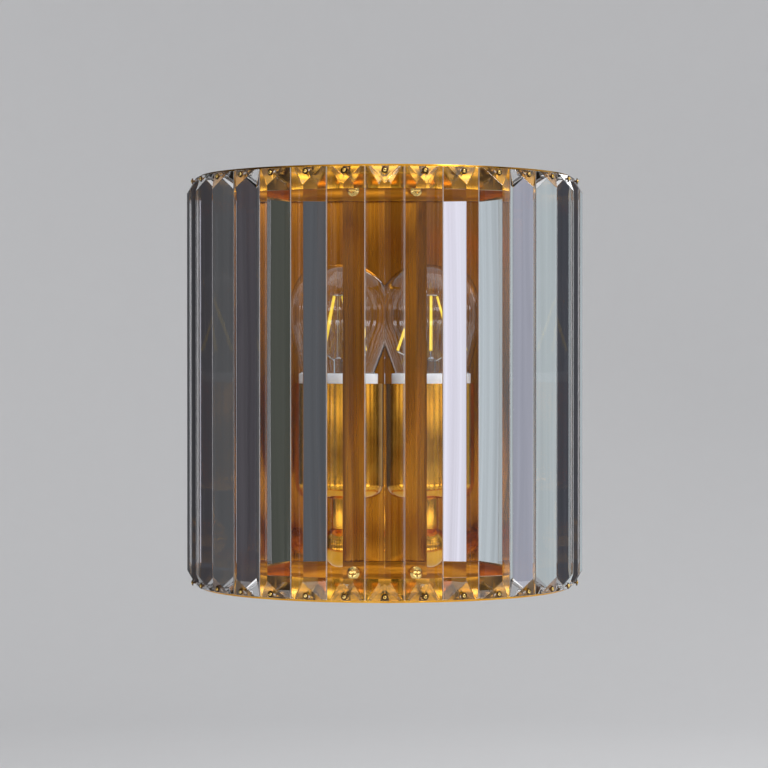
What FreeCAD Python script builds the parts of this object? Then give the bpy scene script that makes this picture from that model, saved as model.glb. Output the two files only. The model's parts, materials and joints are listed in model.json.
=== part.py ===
import FreeCAD, Part
import math
import os
import Sketcher
from FreeCAD import Placement, Rotation, Vector

# Crystal wall light. The wall is the plane y = 0, the lamp stands out towards -Y, and +Z is up.
# The origin is the centre of the wall bracket. All lengths are in millimetres, angles in degrees.

SIZES = (
    ("plate_width", 145.0, "back plate, across"),
    ("plate_reach", 1.0, "back plate past the crystals' ends"),
    ("plate_depth", 16.0, "front of the back plate, out from the wall"),
    ("plate_thickness", 1.2, "sheet of the back plate"),
    ("plate_corner", 3.0, "outer corner radius of the back plate"),
    ("bracket_height", 30.0, "wall bracket, up and down"),
    ("bracket_thickness", 1.5, "strip of the wall bracket"),
    ("bracket_bend", 3.0, "outer bend radius of the wall bracket"),
    ("bracket_ear", 12.0, "reach of the bracket's ears from the wall"),
    ("side_screw_out", 8.0, "side screws, out from the wall"),
    ("side_screw_rise", 8.0, "side screws, above the middle"),
    ("wall_slot_spacing", 80.0, "wall screw slots, centre to centre"),
    ("wall_slot_length", 14.0, "wall screw slot, end to end"),
    ("wall_slot_width", 5.0, "wall screw slot, across"),
    ("ring_radius", 112.0, "outside of the rings' round front"),
    ("ring_thickness", 1.5, "band of the rings"),
    ("ring_height", 13.8, "band of the rings, up and down"),
    ("ring_side", 4.0, "straight sides between the round front and the back bar"),
    ("ring_bend", 3.5, "outer bend radius at the back bar"),
    ("ring_proud", 1.2, "rings past the crystals' ends"),
    ("crystal_length", 246.0, "crystal bar, end to end"),
    ("crystal_pitch", 11.25, "angle from one crystal to the next"),
    ("crystal_count", 15, "crystals round the front"),
    ("crystal_gap", 0.3, "clearance between the backs of two crystals"),
    ("crystal_side", 0.5, "side face of a crystal"),
    ("crystal_rise", 8.0, "ridge above the side faces"),
    ("crystal_slope_length", 10.2, "slanted end, along the ridge"),
    ("crystal_end_thickness", 2.0, "blunt end of a crystal"),
    ("crystal_hole_radius", 0.9, "pin hole in a crystal"),
    ("crystal_hole_inset", 2.6, "pin hole, from the crystal's end"),
    ("pin_radius", 0.6, "shank of a pin"),
    ("pin_head_radius", 1.9, "head of a pin"),
    ("pin_head_height", 1.1, "head of a pin"),
    ("pin_tail_radius", 1.2, "spread tail of a pin"),
    ("pin_tail_height", 0.6, "spread tail of a pin"),
    ("seat_gap", 0.3, "clearance where a piece rests near a curved or loose seat"),
    ("fit_gap", 0.05, "radial clearance of a screw, pin or tube in its hole"),
    ("screw_radius", 2.0, "M4 shank"),
    ("screw_head_radius", 4.0, "M4 pan head"),
    ("screw_head_height", 2.6, "M4 pan head"),
    ("screw_length", 8.0, "M4 screw under its head"),
    ("screw_recess_width", 1.0, "arm of the cross recess"),
    ("screw_recess_span", 4.6, "cross recess, tip to tip"),
    ("screw_recess_depth", 1.5, "cross recess"),
    ("nut_across", 7.0, "M4 nut across its flats"),
    ("nut_height", 3.2, "M4 nut"),
    ("ring_screw_inset", 10.5, "ring screws, in from the back plate's sides"),
    ("arm_radius", 8.0, "outside of the arm"),
    ("arm_wall", 2.2, "tube wall of the arm"),
    ("arm_back_wall", 4.0, "solid back of the arm"),
    ("arm_into_ball", 6.0, "arm past the ball's back"),
    ("ball_radius", 12.0, "ball at the arm's end"),
    ("ball_ring_gap", 1.2, "ball above the lower ring"),
    ("bulb_out", 48.5, "bulb's axis in front of the rings' centre"),
    ("nipple_radius", 5.0, "M10 tube thread, outside"),
    ("nipple_bore", 3.5, "M10 tube, inside"),
    ("nipple_tail", 8.0, "M10 tube behind the back plate"),
    ("big_nut_across", 14.0, "M10 nut across its flats"),
    ("big_nut_height", 3.5, "M10 nut"),
    ("washer_radius", 8.5, "lock washer"),
    ("washer_thickness", 1.0, "lock washer"),
    ("neck_into_ball", 5.0, "neck tube below the rim of its hole in the ball"),
    ("cup_radius", 23.4, "outside of the cup"),
    ("cup_wall", 1.0, "sheet of the cup"),
    ("cup_bottom_drop", 68.0, "underside of the cup below the middle"),
    ("cup_top_drop", 0.5, "rim of the cup below the middle"),
    ("cup_round", 9.0, "outer radius of the cup's lower edge"),
    ("holder_radius", 20.0, "outside of the lampholder"),
    ("holder_top", 5.3, "rim of the lampholder above the middle"),
    ("holder_skirt_wall", 1.4, "rim of the lampholder"),
    ("holder_skirt_depth", 15.3, "wide mouth of the lampholder"),
    ("holder_floor_drop", 36.5, "floor of the lampholder's socket below the middle"),
    ("holder_floor_thickness", 4.0, "floor of the lampholder's socket"),
    ("holder_base_height", 19.0, "lower half of the lampholder"),
    ("holder_base_wall", 3.0, "wall of the lampholder's lower half"),
    ("holder_base_floor", 5.0, "floor of the lampholder's lower half"),
    ("shell_wall", 0.5, "screw shell sheet"),
    ("contact_width", 6.0, "spring contact, across"),
    ("contact_thickness", 0.4, "spring contact strip"),
    ("contact_run", 9.0, "spring contact, from its foot to the axis"),
    ("holder_rim_round", 0.6, "rounding of the lampholder's rim"),
    ("terminal_side", 8.5, "lampholder terminals, from the axis"),
    ("terminal_width", 6.0, "lampholder terminal, across"),
    ("terminal_height", 7.0, "lampholder terminal, up and down"),
    ("thread_pitch", 3.62, "E27 thread"),
    ("thread_depth", 0.7, "E27 thread"),
    ("thread_turns", 5, "turns of thread on the bulb's cap"),
    ("shell_turns", 7, "turns of thread in the screw shell"),
    ("cap_radius", 13.1, "crest of the bulb cap's thread"),
    ("cap_wall", 0.5, "bulb cap sheet"),
    ("thread_clearance", 0.2, "between the bulb cap's crests and the shell's"),
    ("bulb_tip_drop", 35.0, "bulb's end contact below the middle"),
    ("bulb_contact_height", 1.6, "bulb's end contact"),
    ("bulb_contact_radius", 4.8, "bulb's end contact"),
    ("bulb_insulator_height", 3.0, "bulb's insulator"),
    ("bulb_insulator_radius", 10.0, "bulb's insulator at its top"),
    ("cap_collar", 4.3, "plain collar of the bulb's cap"),
    ("bulb_radius", 30.0, "bulb's glass"),
    ("bulb_top", 69.8, "top of the bulb above the middle"),
    ("bulb_glass_wall", 0.8, "bulb's glass"),
    ("bulb_neck_radius", 13.6, "bulb's glass where it meets the cap"),
    ("bulb_neck_height", 2.7, "upright neck of the bulb's glass above the cap"),
    ("stem_radius", 3.6, "glass stem"),
    ("stem_foot", 1.2, "foot of the glass stem, up and down"),
    ("stem_cone", 8.0, "cone of the glass stem"),
    ("rod_radius", 0.8, "glass rod up the middle of the bulb"),
    ("stem_top", 14.0, "top of the glass stem above the middle"),
    ("filament_radius", 0.9, "filament stick"),
    ("filament_length", 34.0, "filament stick"),
    ("filament_low", 18.9, "lower ends of the filaments above the middle"),
    ("filament_spread", 16.0, "lower ends of the filaments, from the axis"),
    ("filament_lean", 11.5, "lean of a filament towards the axis"),
    ("filament_turn", 20.0, "angle of the first filament, round from the right"),
    ("filament_count", 4, "filament sticks"),
    ("filament_wire", 0.35, "support wire"),
    ("block_width", 30.0, "terminal block, across"),
    ("block_height", 16.0, "terminal block, up and down"),
    ("block_depth", 11.0, "terminal block, out from the bracket"),
    ("block_pitch", 9.5, "terminal block, way to way"),
    ("block_way_radius", 1.7, "wire way in the terminal block"),
    ("block_screw_row", 4.5, "terminal screws above and below the middle"),
    ("block_drop", 0.0, "middle of the terminal block"),
    ("terminal_screw_radius", 1.5, "terminal screw"),
    ("terminal_screw_length", 3.0, "terminal screw"),
    ("small_screw_radius", 1.5, "M3 shank"),
    ("small_head_radius", 2.7, "M3 head"),
    ("small_head_height", 1.8, "M3 head"),
    ("wire_radius", 1.1, "inner lead over its insulation"),
    ("wire_offset", 1.4, "live and neutral leads, from the middle of their tube"),
    ("wire_wall_gap", 3.6, "leads' run behind the plate, out from the wall"),
    ("wire_bend", 4.0, "bend of the leads into the arm"),
    ("wire_neck_bend", 6.0, "bend of the leads up into the neck"),
    ("earth_screw_side", 28.0, "earth screw, to the right of the middle"),
    ("earth_screw_drop", 7.5, "earth screw, below the middle"),
    ("earth_screw_length", 2.1, "earth screw under its head"),
    ("lug_thickness", 0.8, "earth lug"),
    ("lug_radius", 4.2, "eye of the earth lug"),
    ("lug_length", 13.0, "earth lug, from its eye's centre to its end"),
    ("lug_barrel_radius", 2.0, "barrel of the earth lug"),
    ("lug_barrel_length", 5.0, "barrel of the earth lug"),
    ("lug_tongue_width", 3.6, "tongue of the earth lug"),
)

doc = FreeCAD.newDocument("crystal_wall_light")
sheet = doc.addObject("Spreadsheet::Sheet", "Size")
for row, (alias, number, meaning) in enumerate(SIZES, start=1):
    sheet.set(f"A{row}", meaning)
    sheet.set(f"B{row}", str(number))
    sheet.setAlias(f"B{row}", alias)
doc.recompute()


def worth(text):
    """The present value of an expression on the sheet."""
    return float(sheet.evalExpression(text))


# Places that several pieces share, as expressions on the sheet.
plate_front = "-Size.plate_depth"
plate_inside = "(Size.plate_thickness - Size.plate_depth)"
ring_centre = "(-Size.plate_depth - Size.ring_side)"
bulb_axis = f"({ring_centre} - Size.bulb_out)"
crystal_half = "(Size.crystal_length / 2)"
plate_half_height = f"({crystal_half} + Size.plate_reach)"
ring_top = f"({crystal_half} + Size.ring_proud)"
ring_middle = f"({ring_top} - Size.ring_height / 2)"
ring_screw_side = "(Size.plate_width / 2 - Size.ring_screw_inset)"
arm_axis = f"(Size.ring_height + Size.ball_ring_gap + Size.ball_radius - {ring_top})"
crystal_back = "(Size.ring_radius + Size.seat_gap)"
crystal_width = f"(2 * {crystal_back} * tan(Size.crystal_pitch * 1 deg / 2) - Size.crystal_gap)"
crystal_hole_height = f"({crystal_half} - Size.crystal_hole_inset)"
first_crystal = "(-Size.crystal_pitch * (Size.crystal_count - 1) / 2)"
screw_hole = "(Size.screw_radius + Size.fit_gap)"
nipple_hole = "(Size.nipple_radius + Size.fit_gap)"
holder_floor = "(-Size.holder_floor_drop)"
holder_joint = "(-Size.holder_floor_drop - Size.holder_floor_thickness)"
holder_bottom = f"({holder_joint} - Size.holder_base_height)"
neck_top = f"({holder_bottom} + Size.holder_base_floor)"
shell_inside = "(Size.cap_radius + Size.thread_clearance)"
socket_radius = f"({shell_inside} + Size.thread_depth + Size.shell_wall + Size.seat_gap)"
bulb_tip = "(-Size.bulb_tip_drop)"
cap_bottom = "(-Size.bulb_tip_drop + Size.bulb_contact_height + Size.bulb_insulator_height)"
thread_height = "(Size.thread_turns * Size.thread_pitch)"
cap_top = f"({cap_bottom} + {thread_height} + Size.cap_collar)"
bracket_front = "(-Size.bracket_thickness)"
block_front = f"({bracket_front} - Size.block_depth)"
wire_way = f"({bracket_front} - Size.block_depth / 2)"

ORIGIN_POINT = -1
CENTRE = 3


def body_named(label):
    body = doc.addObject("PartDesign::Body", label)
    body.Label = label
    return body


def origin_part(body, role):
    """One of the body's own origin planes or axes."""
    return next(item for item in body.Origin.OriginFeatures if item.Role == role)


def sketch_on(body, name, role, offset=None):
    """A sketch on one of the body's own origin planes; offset is an expression along its normal."""
    sketch = body.newObject("Sketcher::SketchObject", name)
    sketch.AttachmentSupport = (origin_part(body, role), [""])
    sketch.MapMode = "FlatFace"
    if offset is not None:
        sketch.setExpression("AttachmentOffset.Base.z", offset)
    return sketch


def hold_point(sketch, shape, end, x, y):
    """Ties one point of the sketch to two expressions."""
    for kind, text in (("DistanceX", x), ("DistanceY", y)):
        rule = sketch.addConstraint(Sketcher.Constraint(kind, ORIGIN_POINT, 1, shape, end, worth(text)))
        sketch.setExpression(f"Constraints[{rule}]", text)


def hold_radius(sketch, shape, radius):
    rule = sketch.addConstraint(Sketcher.Constraint("Radius", shape, worth(radius)))
    sketch.setExpression(f"Constraints[{rule}]", radius)


def arc_between(start, end, radius, side):
    """Arc of less than a half circle; side 1 has its centre left of the way from start to end."""
    chord = end - start
    half = chord.Length / 2
    inward = Vector(-chord.y, chord.x, 0) * (side / chord.Length)
    centre = (start + end) / 2 + inward * math.sqrt(max(radius * radius - half * half, 0))
    first, last = (start, end) if side > 0 else (end, start)
    angles = [math.atan2(point.y - centre.y, point.x - centre.x) for point in (first, last)]
    return Part.ArcOfCircle(Part.Circle(centre, Vector(0, 0, 1), radius), *angles)


def draw_outline(sketch, corners, bends=None):
    """Closed outline through corners; bends gives an edge's number its arc radius and side."""
    bends = bends or {}
    points = [Vector(worth(x), worth(y), 0) for x, y in corners]
    starts = []
    for number, start in enumerate(points):
        end = points[(number + 1) % len(points)]
        if number in bends:
            radius, side = bends[number]
            shape = sketch.addGeometry(arc_between(start, end, worth(radius), side))
            hold_radius(sketch, shape, radius)
            starts.append((shape, 1 if side > 0 else 2))
        else:
            starts.append((sketch.addGeometry(Part.LineSegment(start, end)), 1))
    for number, (shape, start) in enumerate(starts):
        following, first = starts[(number + 1) % len(starts)]
        sketch.addConstraint(Sketcher.Constraint("Coincident", shape, 3 - start, following, first))
        hold_point(sketch, shape, start, *corners[number])


def draw_circle(sketch, x, y, radius):
    circle = Part.Circle(Vector(worth(x), worth(y), 0), Vector(0, 0, 1), worth(radius))
    shape = sketch.addGeometry(circle)
    hold_point(sketch, shape, CENTRE, x, y)
    hold_radius(sketch, shape, radius)


def draw_box(sketch, left, low, right, high):
    draw_outline(sketch, [(left, low), (right, low), (right, high), (left, high)])


def pad(body, sketch, length, symmetric=False, reverse=False):
    feature = body.newObject("PartDesign::Pad", "Pad")
    feature.Profile = sketch
    feature.setExpression("Length", length)
    feature.SideType = "Symmetric" if symmetric else "One side"
    feature.Reversed = reverse
    return feature


def pocket(body, sketch, length=None, symmetric=False, reverse=False):
    """Cuts the sketch out of the body, through it all where no length is given."""
    feature = body.newObject("PartDesign::Pocket", "Pocket")
    feature.Profile = sketch
    feature.SideType = "Symmetric" if symmetric else "One side"
    feature.Reversed = reverse
    if length is None:
        feature.Type = "ThroughAll"
    else:
        feature.setExpression("Length", length)
    return feature


def turn(body, sketch):
    """Turns the sketch round the body's Z axis."""
    feature = body.newObject("PartDesign::Revolution", "Revolution")
    feature.Profile = sketch
    feature.ReferenceAxis = (sketch, ["V_Axis"])
    feature.Angle = 360
    return feature


def turned(label, corners, bends=None):
    """A body turned from one outline of (radius, height) corners."""
    body = body_named(label)
    sketch = sketch_on(body, "Section", "XZ_Plane")
    draw_outline(sketch, corners, bends)
    turn(body, sketch)
    return body


def place(body, x="0", y="0", z="0", rotation=None):
    """Puts a finished piece where three expressions say."""
    if rotation is not None:
        body.Placement = Placement(Vector(0, 0, 0), rotation)
    for axis, text in (("x", x), ("y", y), ("z", z)):
        body.setExpression(f"Placement.Base.{axis}", text)
    return body


def group(label, template, places):
    """Copies of one fastener as a group of separate solids."""
    doc.recompute()
    copies = []
    for spot in places:
        copy = template.Shape.copy()
        copy.Placement = spot.multiply(copy.Placement)
        copies.append(copy)
    feature = doc.addObject("Part::Feature", label)
    feature.Label = label
    feature.Shape = Part.makeCompound(copies)
    return feature


FACE_OUT = Rotation(Vector(1, 0, 0), 90)      # local +Z turned to -Y, away from the wall
FACE_RIGHT = Rotation(Vector(0, 1, 0), 90)    # local +Z turned to +X
FACE_LEFT = Rotation(Vector(0, 1, 0), -90)    # local +Z turned to -X


def pan_screw(name, radius, head_radius, head_height, length):
    """Pan-head screw: its head's underside at z = 0, its shank down, a cross recess on top."""
    screw = turned(name, [
        ("0", f"-{length}"),
        (radius, f"-{length}"),
        (radius, "0"),
        (head_radius, "0"),
        (head_radius, f"{head_height} * 0.45"),
        (f"{head_radius} * 0.6", f"{head_height} * 0.95"),
        ("0", head_height),
    ])
    for across, along in (("Size.screw_recess_span", "Size.screw_recess_width"),
                          ("Size.screw_recess_width", "Size.screw_recess_span")):
        recess = sketch_on(screw, "Recess", "XY_Plane", head_height)
        share = f"{head_radius} / Size.screw_head_radius / 2"
        draw_box(recess, f"-{across} * {share}", f"-{along} * {share}",
                 f"{across} * {share}", f"{along} * {share}")
        pocket(screw, recess, f"Size.screw_recess_depth * {head_height} / Size.screw_head_height")
    return screw


def hex_nut(name, across, height, bore):
    """Hexagon nut standing on z = 0."""
    nut = body_named(name)
    sketch = sketch_on(nut, "Hexagon", "XY_Plane")
    corners = []
    for number in range(6):
        reach = f"{across} / sqrt(3)"
        corners.append((f"{reach} * cos({60 * number} deg)", f"{reach} * sin({60 * number} deg)"))
    draw_outline(sketch, corners)
    draw_circle(sketch, "0", "0", bore)
    pad(nut, sketch, height)
    return nut


# ---- wall side

def make_back_plate():
    """Pan with its open side to the wall."""
    plate = body_named("back_plate")
    sketch = sketch_on(plate, "Front", "XZ_Plane")
    draw_rounded_box(sketch, "Size.plate_width / 2", plate_half_height, "Size.plate_corner")
    pad(plate, sketch, "Size.plate_depth")
    hollow = sketch_on(plate, "Hollow", "XZ_Plane")
    draw_rounded_box(hollow, "Size.plate_width / 2 - Size.plate_thickness",
                     f"{plate_half_height} - Size.plate_thickness",
                     "Size.plate_corner - Size.plate_thickness")
    pocket(plate, hollow, "Size.plate_depth - Size.plate_thickness", reverse=True)
    holes = sketch_on(plate, "FrontHoles", "XZ_Plane")
    for across in ("-", ""):
        for up in ("-", ""):
            draw_circle(holes, f"{across}{ring_screw_side}", f"{up}{ring_middle}", screw_hole)
    draw_circle(holes, "0", arm_axis, nipple_hole)
    pocket(plate, holes, reverse=True)
    sides = sketch_on(plate, "SideHoles", "YZ_Plane")
    draw_circle(sides, "-Size.side_screw_out", "Size.side_screw_rise", screw_hole)
    pocket(plate, sides, symmetric=True)
    return plate


def draw_rounded_box(sketch, half_width, half_height, corner):
    draw_outline(sketch, [
        (f"-({half_width}) + {corner}", f"-({half_height})"),
        (f"{half_width} - ({corner})", f"-({half_height})"),
        (half_width, f"-({half_height}) + {corner}"),
        (half_width, f"{half_height} - ({corner})"),
        (f"{half_width} - ({corner})", half_height),
        (f"-({half_width}) + {corner}", half_height),
        (f"-({half_width})", f"{half_height} - ({corner})"),
        (f"-({half_width})", f"-({half_height}) + {corner}"),
    ], {1: (corner, 1), 3: (corner, 1), 5: (corner, 1), 7: (corner, 1)})


def make_wall_bracket():
    """Strap on the wall with an ear at each end for the pan's side screws."""
    bracket = body_named("wall_bracket")
    strap = sketch_on(bracket, "Strap", "XY_Plane")
    outside = "(Size.plate_width / 2 - Size.plate_thickness - Size.seat_gap)"
    inside = f"({outside} - Size.bracket_thickness)"
    inner_bend = "(Size.bracket_bend - Size.bracket_thickness)"
    draw_outline(strap, [
        (f"-{outside} + Size.bracket_bend", "0"),
        (f"-{outside}", "-Size.bracket_bend"),
        (f"-{outside}", "-Size.bracket_ear"),
        (f"-{inside}", "-Size.bracket_ear"),
        (f"-{inside}", f"{bracket_front} - {inner_bend}"),
        (f"-{inside} + {inner_bend}", bracket_front),
        (f"{inside} - {inner_bend}", bracket_front),
        (inside, f"{bracket_front} - {inner_bend}"),
        (inside, "-Size.bracket_ear"),
        (outside, "-Size.bracket_ear"),
        (outside, "-Size.bracket_bend"),
        (f"{outside} - Size.bracket_bend", "0"),
    ], {0: ("Size.bracket_bend", 1), 4: (inner_bend, -1), 6: (inner_bend, -1), 10: ("Size.bracket_bend", 1)})
    pad(bracket, strap, "Size.bracket_height", symmetric=True)
    holes = sketch_on(bracket, "WallHoles", "XZ_Plane")
    slot_end = "(Size.wall_slot_width / 2)"
    slot_half = f"(Size.wall_slot_length / 2 - {slot_end})"
    for sign in ("-", ""):
        middle = f"({sign}Size.wall_slot_spacing / 2)"
        draw_outline(holes, [
            (f"{middle} - {slot_half}", f"-{slot_end}"),
            (f"{middle} + {slot_half}", f"-{slot_end}"),
            (f"{middle} + {slot_half} + {slot_end}", "0"),
            (f"{middle} + {slot_half}", slot_end),
            (f"{middle} - {slot_half}", slot_end),
            (f"{middle} - {slot_half} - {slot_end}", "0"),
        ], {1: (slot_end, 1), 2: (slot_end, 1), 4: (slot_end, 1), 5: (slot_end, 1)})
    draw_circle(holes, "Size.earth_screw_side", "-Size.earth_screw_drop", screw_hole)
    draw_circle(holes, "Size.block_pitch / 2", "Size.block_drop", "Size.small_screw_radius + Size.fit_gap")
    pocket(bracket, holes, "Size.bracket_thickness", reverse=True)
    ears = sketch_on(bracket, "EarHoles", "YZ_Plane")
    draw_circle(ears, "-Size.side_screw_out", "Size.side_screw_rise", screw_hole)
    pocket(bracket, ears, symmetric=True)
    return bracket


def make_terminal_block():
    """Block on the bracket: three wire ways up and down, two screws over each."""
    block = body_named("terminal_block")
    outline = sketch_on(block, "Outline", "XZ_Plane", "Size.bracket_thickness")
    low = "Size.block_drop - Size.block_height / 2"
    high = "Size.block_drop + Size.block_height / 2"
    draw_box(outline, "-Size.block_width / 2", low, "Size.block_width / 2", high)
    pad(block, outline, "Size.block_depth")
    ways = sketch_on(block, "Ways", "XY_Plane")
    for number in (-1, 0, 1):
        draw_circle(ways, f"{number} * Size.block_pitch", wire_way, "Size.block_way_radius")
    pocket(block, ways, symmetric=True)
    wells = sketch_on(block, "Wells", "XZ_Plane", f"-({block_front})")
    for number in (-1, 0, 1):
        for side in ("-", "+"):
            draw_circle(wells, f"{number} * Size.block_pitch", f"Size.block_drop {side} Size.block_screw_row",
                        "Size.terminal_screw_radius + Size.fit_gap")
    pocket(block, wells, "Size.block_depth / 2")
    fixing = sketch_on(block, "Fixing", "XZ_Plane")
    draw_circle(fixing, "Size.block_pitch / 2", "Size.block_drop", "Size.small_screw_radius + Size.fit_gap")
    pocket(block, fixing, reverse=True)
    return block


def terminal_screw(name):
    """Grub screw with a slot, its end at z = 0."""
    screw = turned(name, [
        ("0", "0"),
        ("Size.terminal_screw_radius", "0"),
        ("Size.terminal_screw_radius", "Size.terminal_screw_length"),
        ("0", "Size.terminal_screw_length"),
    ])
    slot = sketch_on(screw, "Slot", "XY_Plane", "Size.terminal_screw_length")
    draw_box(slot, "-Size.terminal_screw_radius * 2", "-Size.terminal_screw_radius / 5",
             "Size.terminal_screw_radius * 2", "Size.terminal_screw_radius / 5")
    pocket(screw, slot, "Size.terminal_screw_length / 3")
    return screw


# ---- rings, crystals and pins

def d_outline(inset):
    """Corners and bends of the D seen from above, with the round front's centre at the origin."""
    radius = f"(Size.ring_radius - {inset})"
    back = f"(Size.ring_side - {inset})"
    bend = f"(Size.ring_bend - {inset})"
    corners = [
        (f"-{radius}", "0"),
        ("0", f"-{radius}"),
        (radius, "0"),
        (radius, f"{back} - {bend}"),
        (f"{radius} - {bend}", back),
        (f"-{radius} + {bend}", back),
        (f"-{radius}", f"{back} - {bend}"),
    ]
    return corners, {0: (radius, 1), 1: (radius, 1), 3: (bend, 1), 5: (bend, 1)}


def make_ring(label, sign):
    """Closed band: a round front with a pin hole for each crystal, and a back bar with two screw holes."""
    ring = body_named(label)
    band = sketch_on(ring, "Band", "XY_Plane")
    draw_outline(band, *d_outline("0"))
    draw_outline(band, *d_outline("Size.ring_thickness"))
    pad(ring, band, "Size.ring_height", symmetric=True)
    screws = sketch_on(ring, "ScrewHoles", "XZ_Plane")
    for side in ("-", ""):
        draw_circle(screws, f"{side}{ring_screw_side}", "0", screw_hole)
    pocket(ring, screws)
    pins = sketch_on(ring, "PinHole", "XZ_Plane")
    pins.AttachmentOffset = Placement(Vector(0, 0, 0), Rotation(Vector(0, 1, 0), 0))
    pins.setExpression("AttachmentOffset.Rotation.Angle", f"{first_crystal} * 1 deg")
    draw_circle(pins, "0", f"{sign}({crystal_hole_height} - {ring_middle})", "Size.pin_radius + Size.fit_gap")
    hole = pocket(ring, pins, "Size.ring_radius * 2", reverse=True)
    pattern = ring.newObject("PartDesign::PolarPattern", "PinHoles")
    pattern.Originals = [hole]
    pattern.Axis = (origin_part(ring, "Z_Axis"), [""])
    pattern.setExpression("Angle", "Size.crystal_pitch * (Size.crystal_count - 1)")
    pattern.setExpression("Occurrences", "Size.crystal_count")
    ring.Tip = pattern
    return place(ring, y=ring_centre, z=f"{sign}{ring_middle}")


def make_crystal(number):
    """Glass bar: flat back, narrow side faces, ridge outwards, slanted ends and a pin hole near each end."""
    crystal = body_named(f"crystal_{number + 1:02d}")
    half_width = f"({crystal_width} / 2)"
    edge = f"(-{crystal_back} - Size.crystal_side)"
    ridge = f"({edge} - Size.crystal_rise)"
    section = sketch_on(crystal, "Section", "XY_Plane")
    draw_outline(section, [
        (f"-{half_width}", f"-{crystal_back}"),
        (f"-{half_width}", edge),
        ("0", ridge),
        (half_width, edge),
        (half_width, f"-{crystal_back}"),
    ])
    pad(crystal, section, "Size.crystal_length", symmetric=True)
    ends = sketch_on(crystal, "Ends", "YZ_Plane")
    for sign in ("", "-"):
        draw_outline(ends, [
            (ridge, f"{sign}({crystal_half} - Size.crystal_slope_length)"),
            (f"-{crystal_back} - Size.crystal_end_thickness", f"{sign}{crystal_half}"),
            (f"-{crystal_back} - Size.crystal_end_thickness", f"{sign}Size.crystal_length"),
            (f"{ridge} * 2", f"{sign}Size.crystal_length"),
            (f"{ridge} * 2", f"{sign}({crystal_half} - Size.crystal_slope_length)"),
        ])
    pocket(crystal, ends, symmetric=True)
    holes = sketch_on(crystal, "PinHoles", "XZ_Plane")
    for sign in ("", "-"):
        draw_circle(holes, "0", f"{sign}{crystal_hole_height}", "Size.crystal_hole_radius")
    pocket(crystal, holes, reverse=True)
    crystal.Placement = Placement(Vector(0, 0, 0), Rotation(Vector(0, 0, 1), crystal_angle(number)))
    crystal.setExpression("Placement.Base.y", ring_centre)
    return crystal


def crystal_angle(number):
    return worth(f"{first_crystal} + {number} * Size.crystal_pitch")


def pin_template():
    """Pin along +Z from the rings' centre: tail inside the ring, shank, domed head on the slanted end."""
    slope = "(Size.crystal_side + Size.crystal_rise - Size.crystal_end_thickness) / Size.crystal_slope_length"
    seat = (f"({crystal_back} + Size.crystal_end_thickness"
            f" + (Size.crystal_hole_inset + Size.pin_head_radius) * {slope} + Size.fit_gap)")
    tail = "(Size.ring_radius - Size.ring_thickness - Size.fit_gap)"
    dome = "((Size.pin_head_radius ^ 2 + Size.pin_head_height ^ 2) / (2 * Size.pin_head_height))"
    return turned("pin", [
        ("0", f"{tail} - Size.pin_tail_height"),
        ("Size.pin_tail_radius", f"{tail} - Size.pin_tail_height"),
        ("Size.pin_tail_radius", tail),
        ("Size.pin_radius", tail),
        ("Size.pin_radius", seat),
        ("Size.pin_head_radius", seat),
        ("0", f"{seat} + Size.pin_head_height"),
    ], {5: (dome, 1)})


def pin_places(sign):
    places = []
    for number in range(int(worth("Size.crystal_count"))):
        around = Rotation(Vector(0, 0, 1), crystal_angle(number))
        spot = Vector(0, worth(ring_centre), worth(f"{sign}{crystal_hole_height}"))
        places.append(Placement(spot, around.multiply(FACE_OUT)))
    return places


# ---- arm, cup and lampholder

arm_end = f"(Size.arm_into_ball - Size.ball_radius - {bulb_axis} - Size.plate_depth)"
arm_bore = "(Size.arm_radius - Size.arm_wall)"
ball_top = f"sqrt(Size.ball_radius ^ 2 - {nipple_hole} ^ 2)"


def make_arm():
    """Tube from the back plate into the ball, solid at the back."""
    arm = turned("arm", [
        (nipple_hole, "0"),
        ("Size.arm_radius", "0"),
        ("Size.arm_radius", arm_end),
        (arm_bore, arm_end),
        (arm_bore, "Size.arm_back_wall"),
        (nipple_hole, "Size.arm_back_wall"),
    ])
    return place(arm, y=plate_front, z=arm_axis, rotation=FACE_OUT)


def make_arm_ball():
    """Ball with a hole for the neck in its top, which meets the arm's bore and its socket at the back."""
    ball = turned("arm_ball", [
        ("0", "-Size.ball_radius"),
        ("Size.ball_radius", "0"),
        (nipple_hole, ball_top),
        (nipple_hole, "-Size.nipple_radius"),
        ("0", "-Size.nipple_radius"),
    ], {0: ("Size.ball_radius", 1), 1: ("Size.ball_radius", 1)})
    bore = sketch_on(ball, "Bore", "XZ_Plane")
    draw_circle(bore, "0", "0", arm_bore)
    pocket(ball, bore)
    socket = sketch_on(ball, "Socket", "XZ_Plane", "Size.arm_into_ball - Size.ball_radius")
    draw_circle(socket, "0", "0", "Size.arm_radius + Size.fit_gap")
    pocket(ball, socket)
    return place(ball, y=bulb_axis, z=arm_axis)


def make_tube(label, low, high):
    """Threaded tube between two heights on its own axis."""
    return turned(label, [
        ("Size.nipple_bore", low),
        ("Size.nipple_radius", low),
        ("Size.nipple_radius", high),
        ("Size.nipple_bore", high),
    ])


def make_washer():
    washer = turned("arm_washer", [
        (nipple_hole, "0"),
        ("Size.washer_radius", "0"),
        ("Size.washer_radius", "Size.washer_thickness"),
        (nipple_hole, "Size.washer_thickness"),
    ])
    return place(washer, y=f"{plate_inside} + Size.washer_thickness", z=arm_axis, rotation=FACE_OUT)


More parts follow.
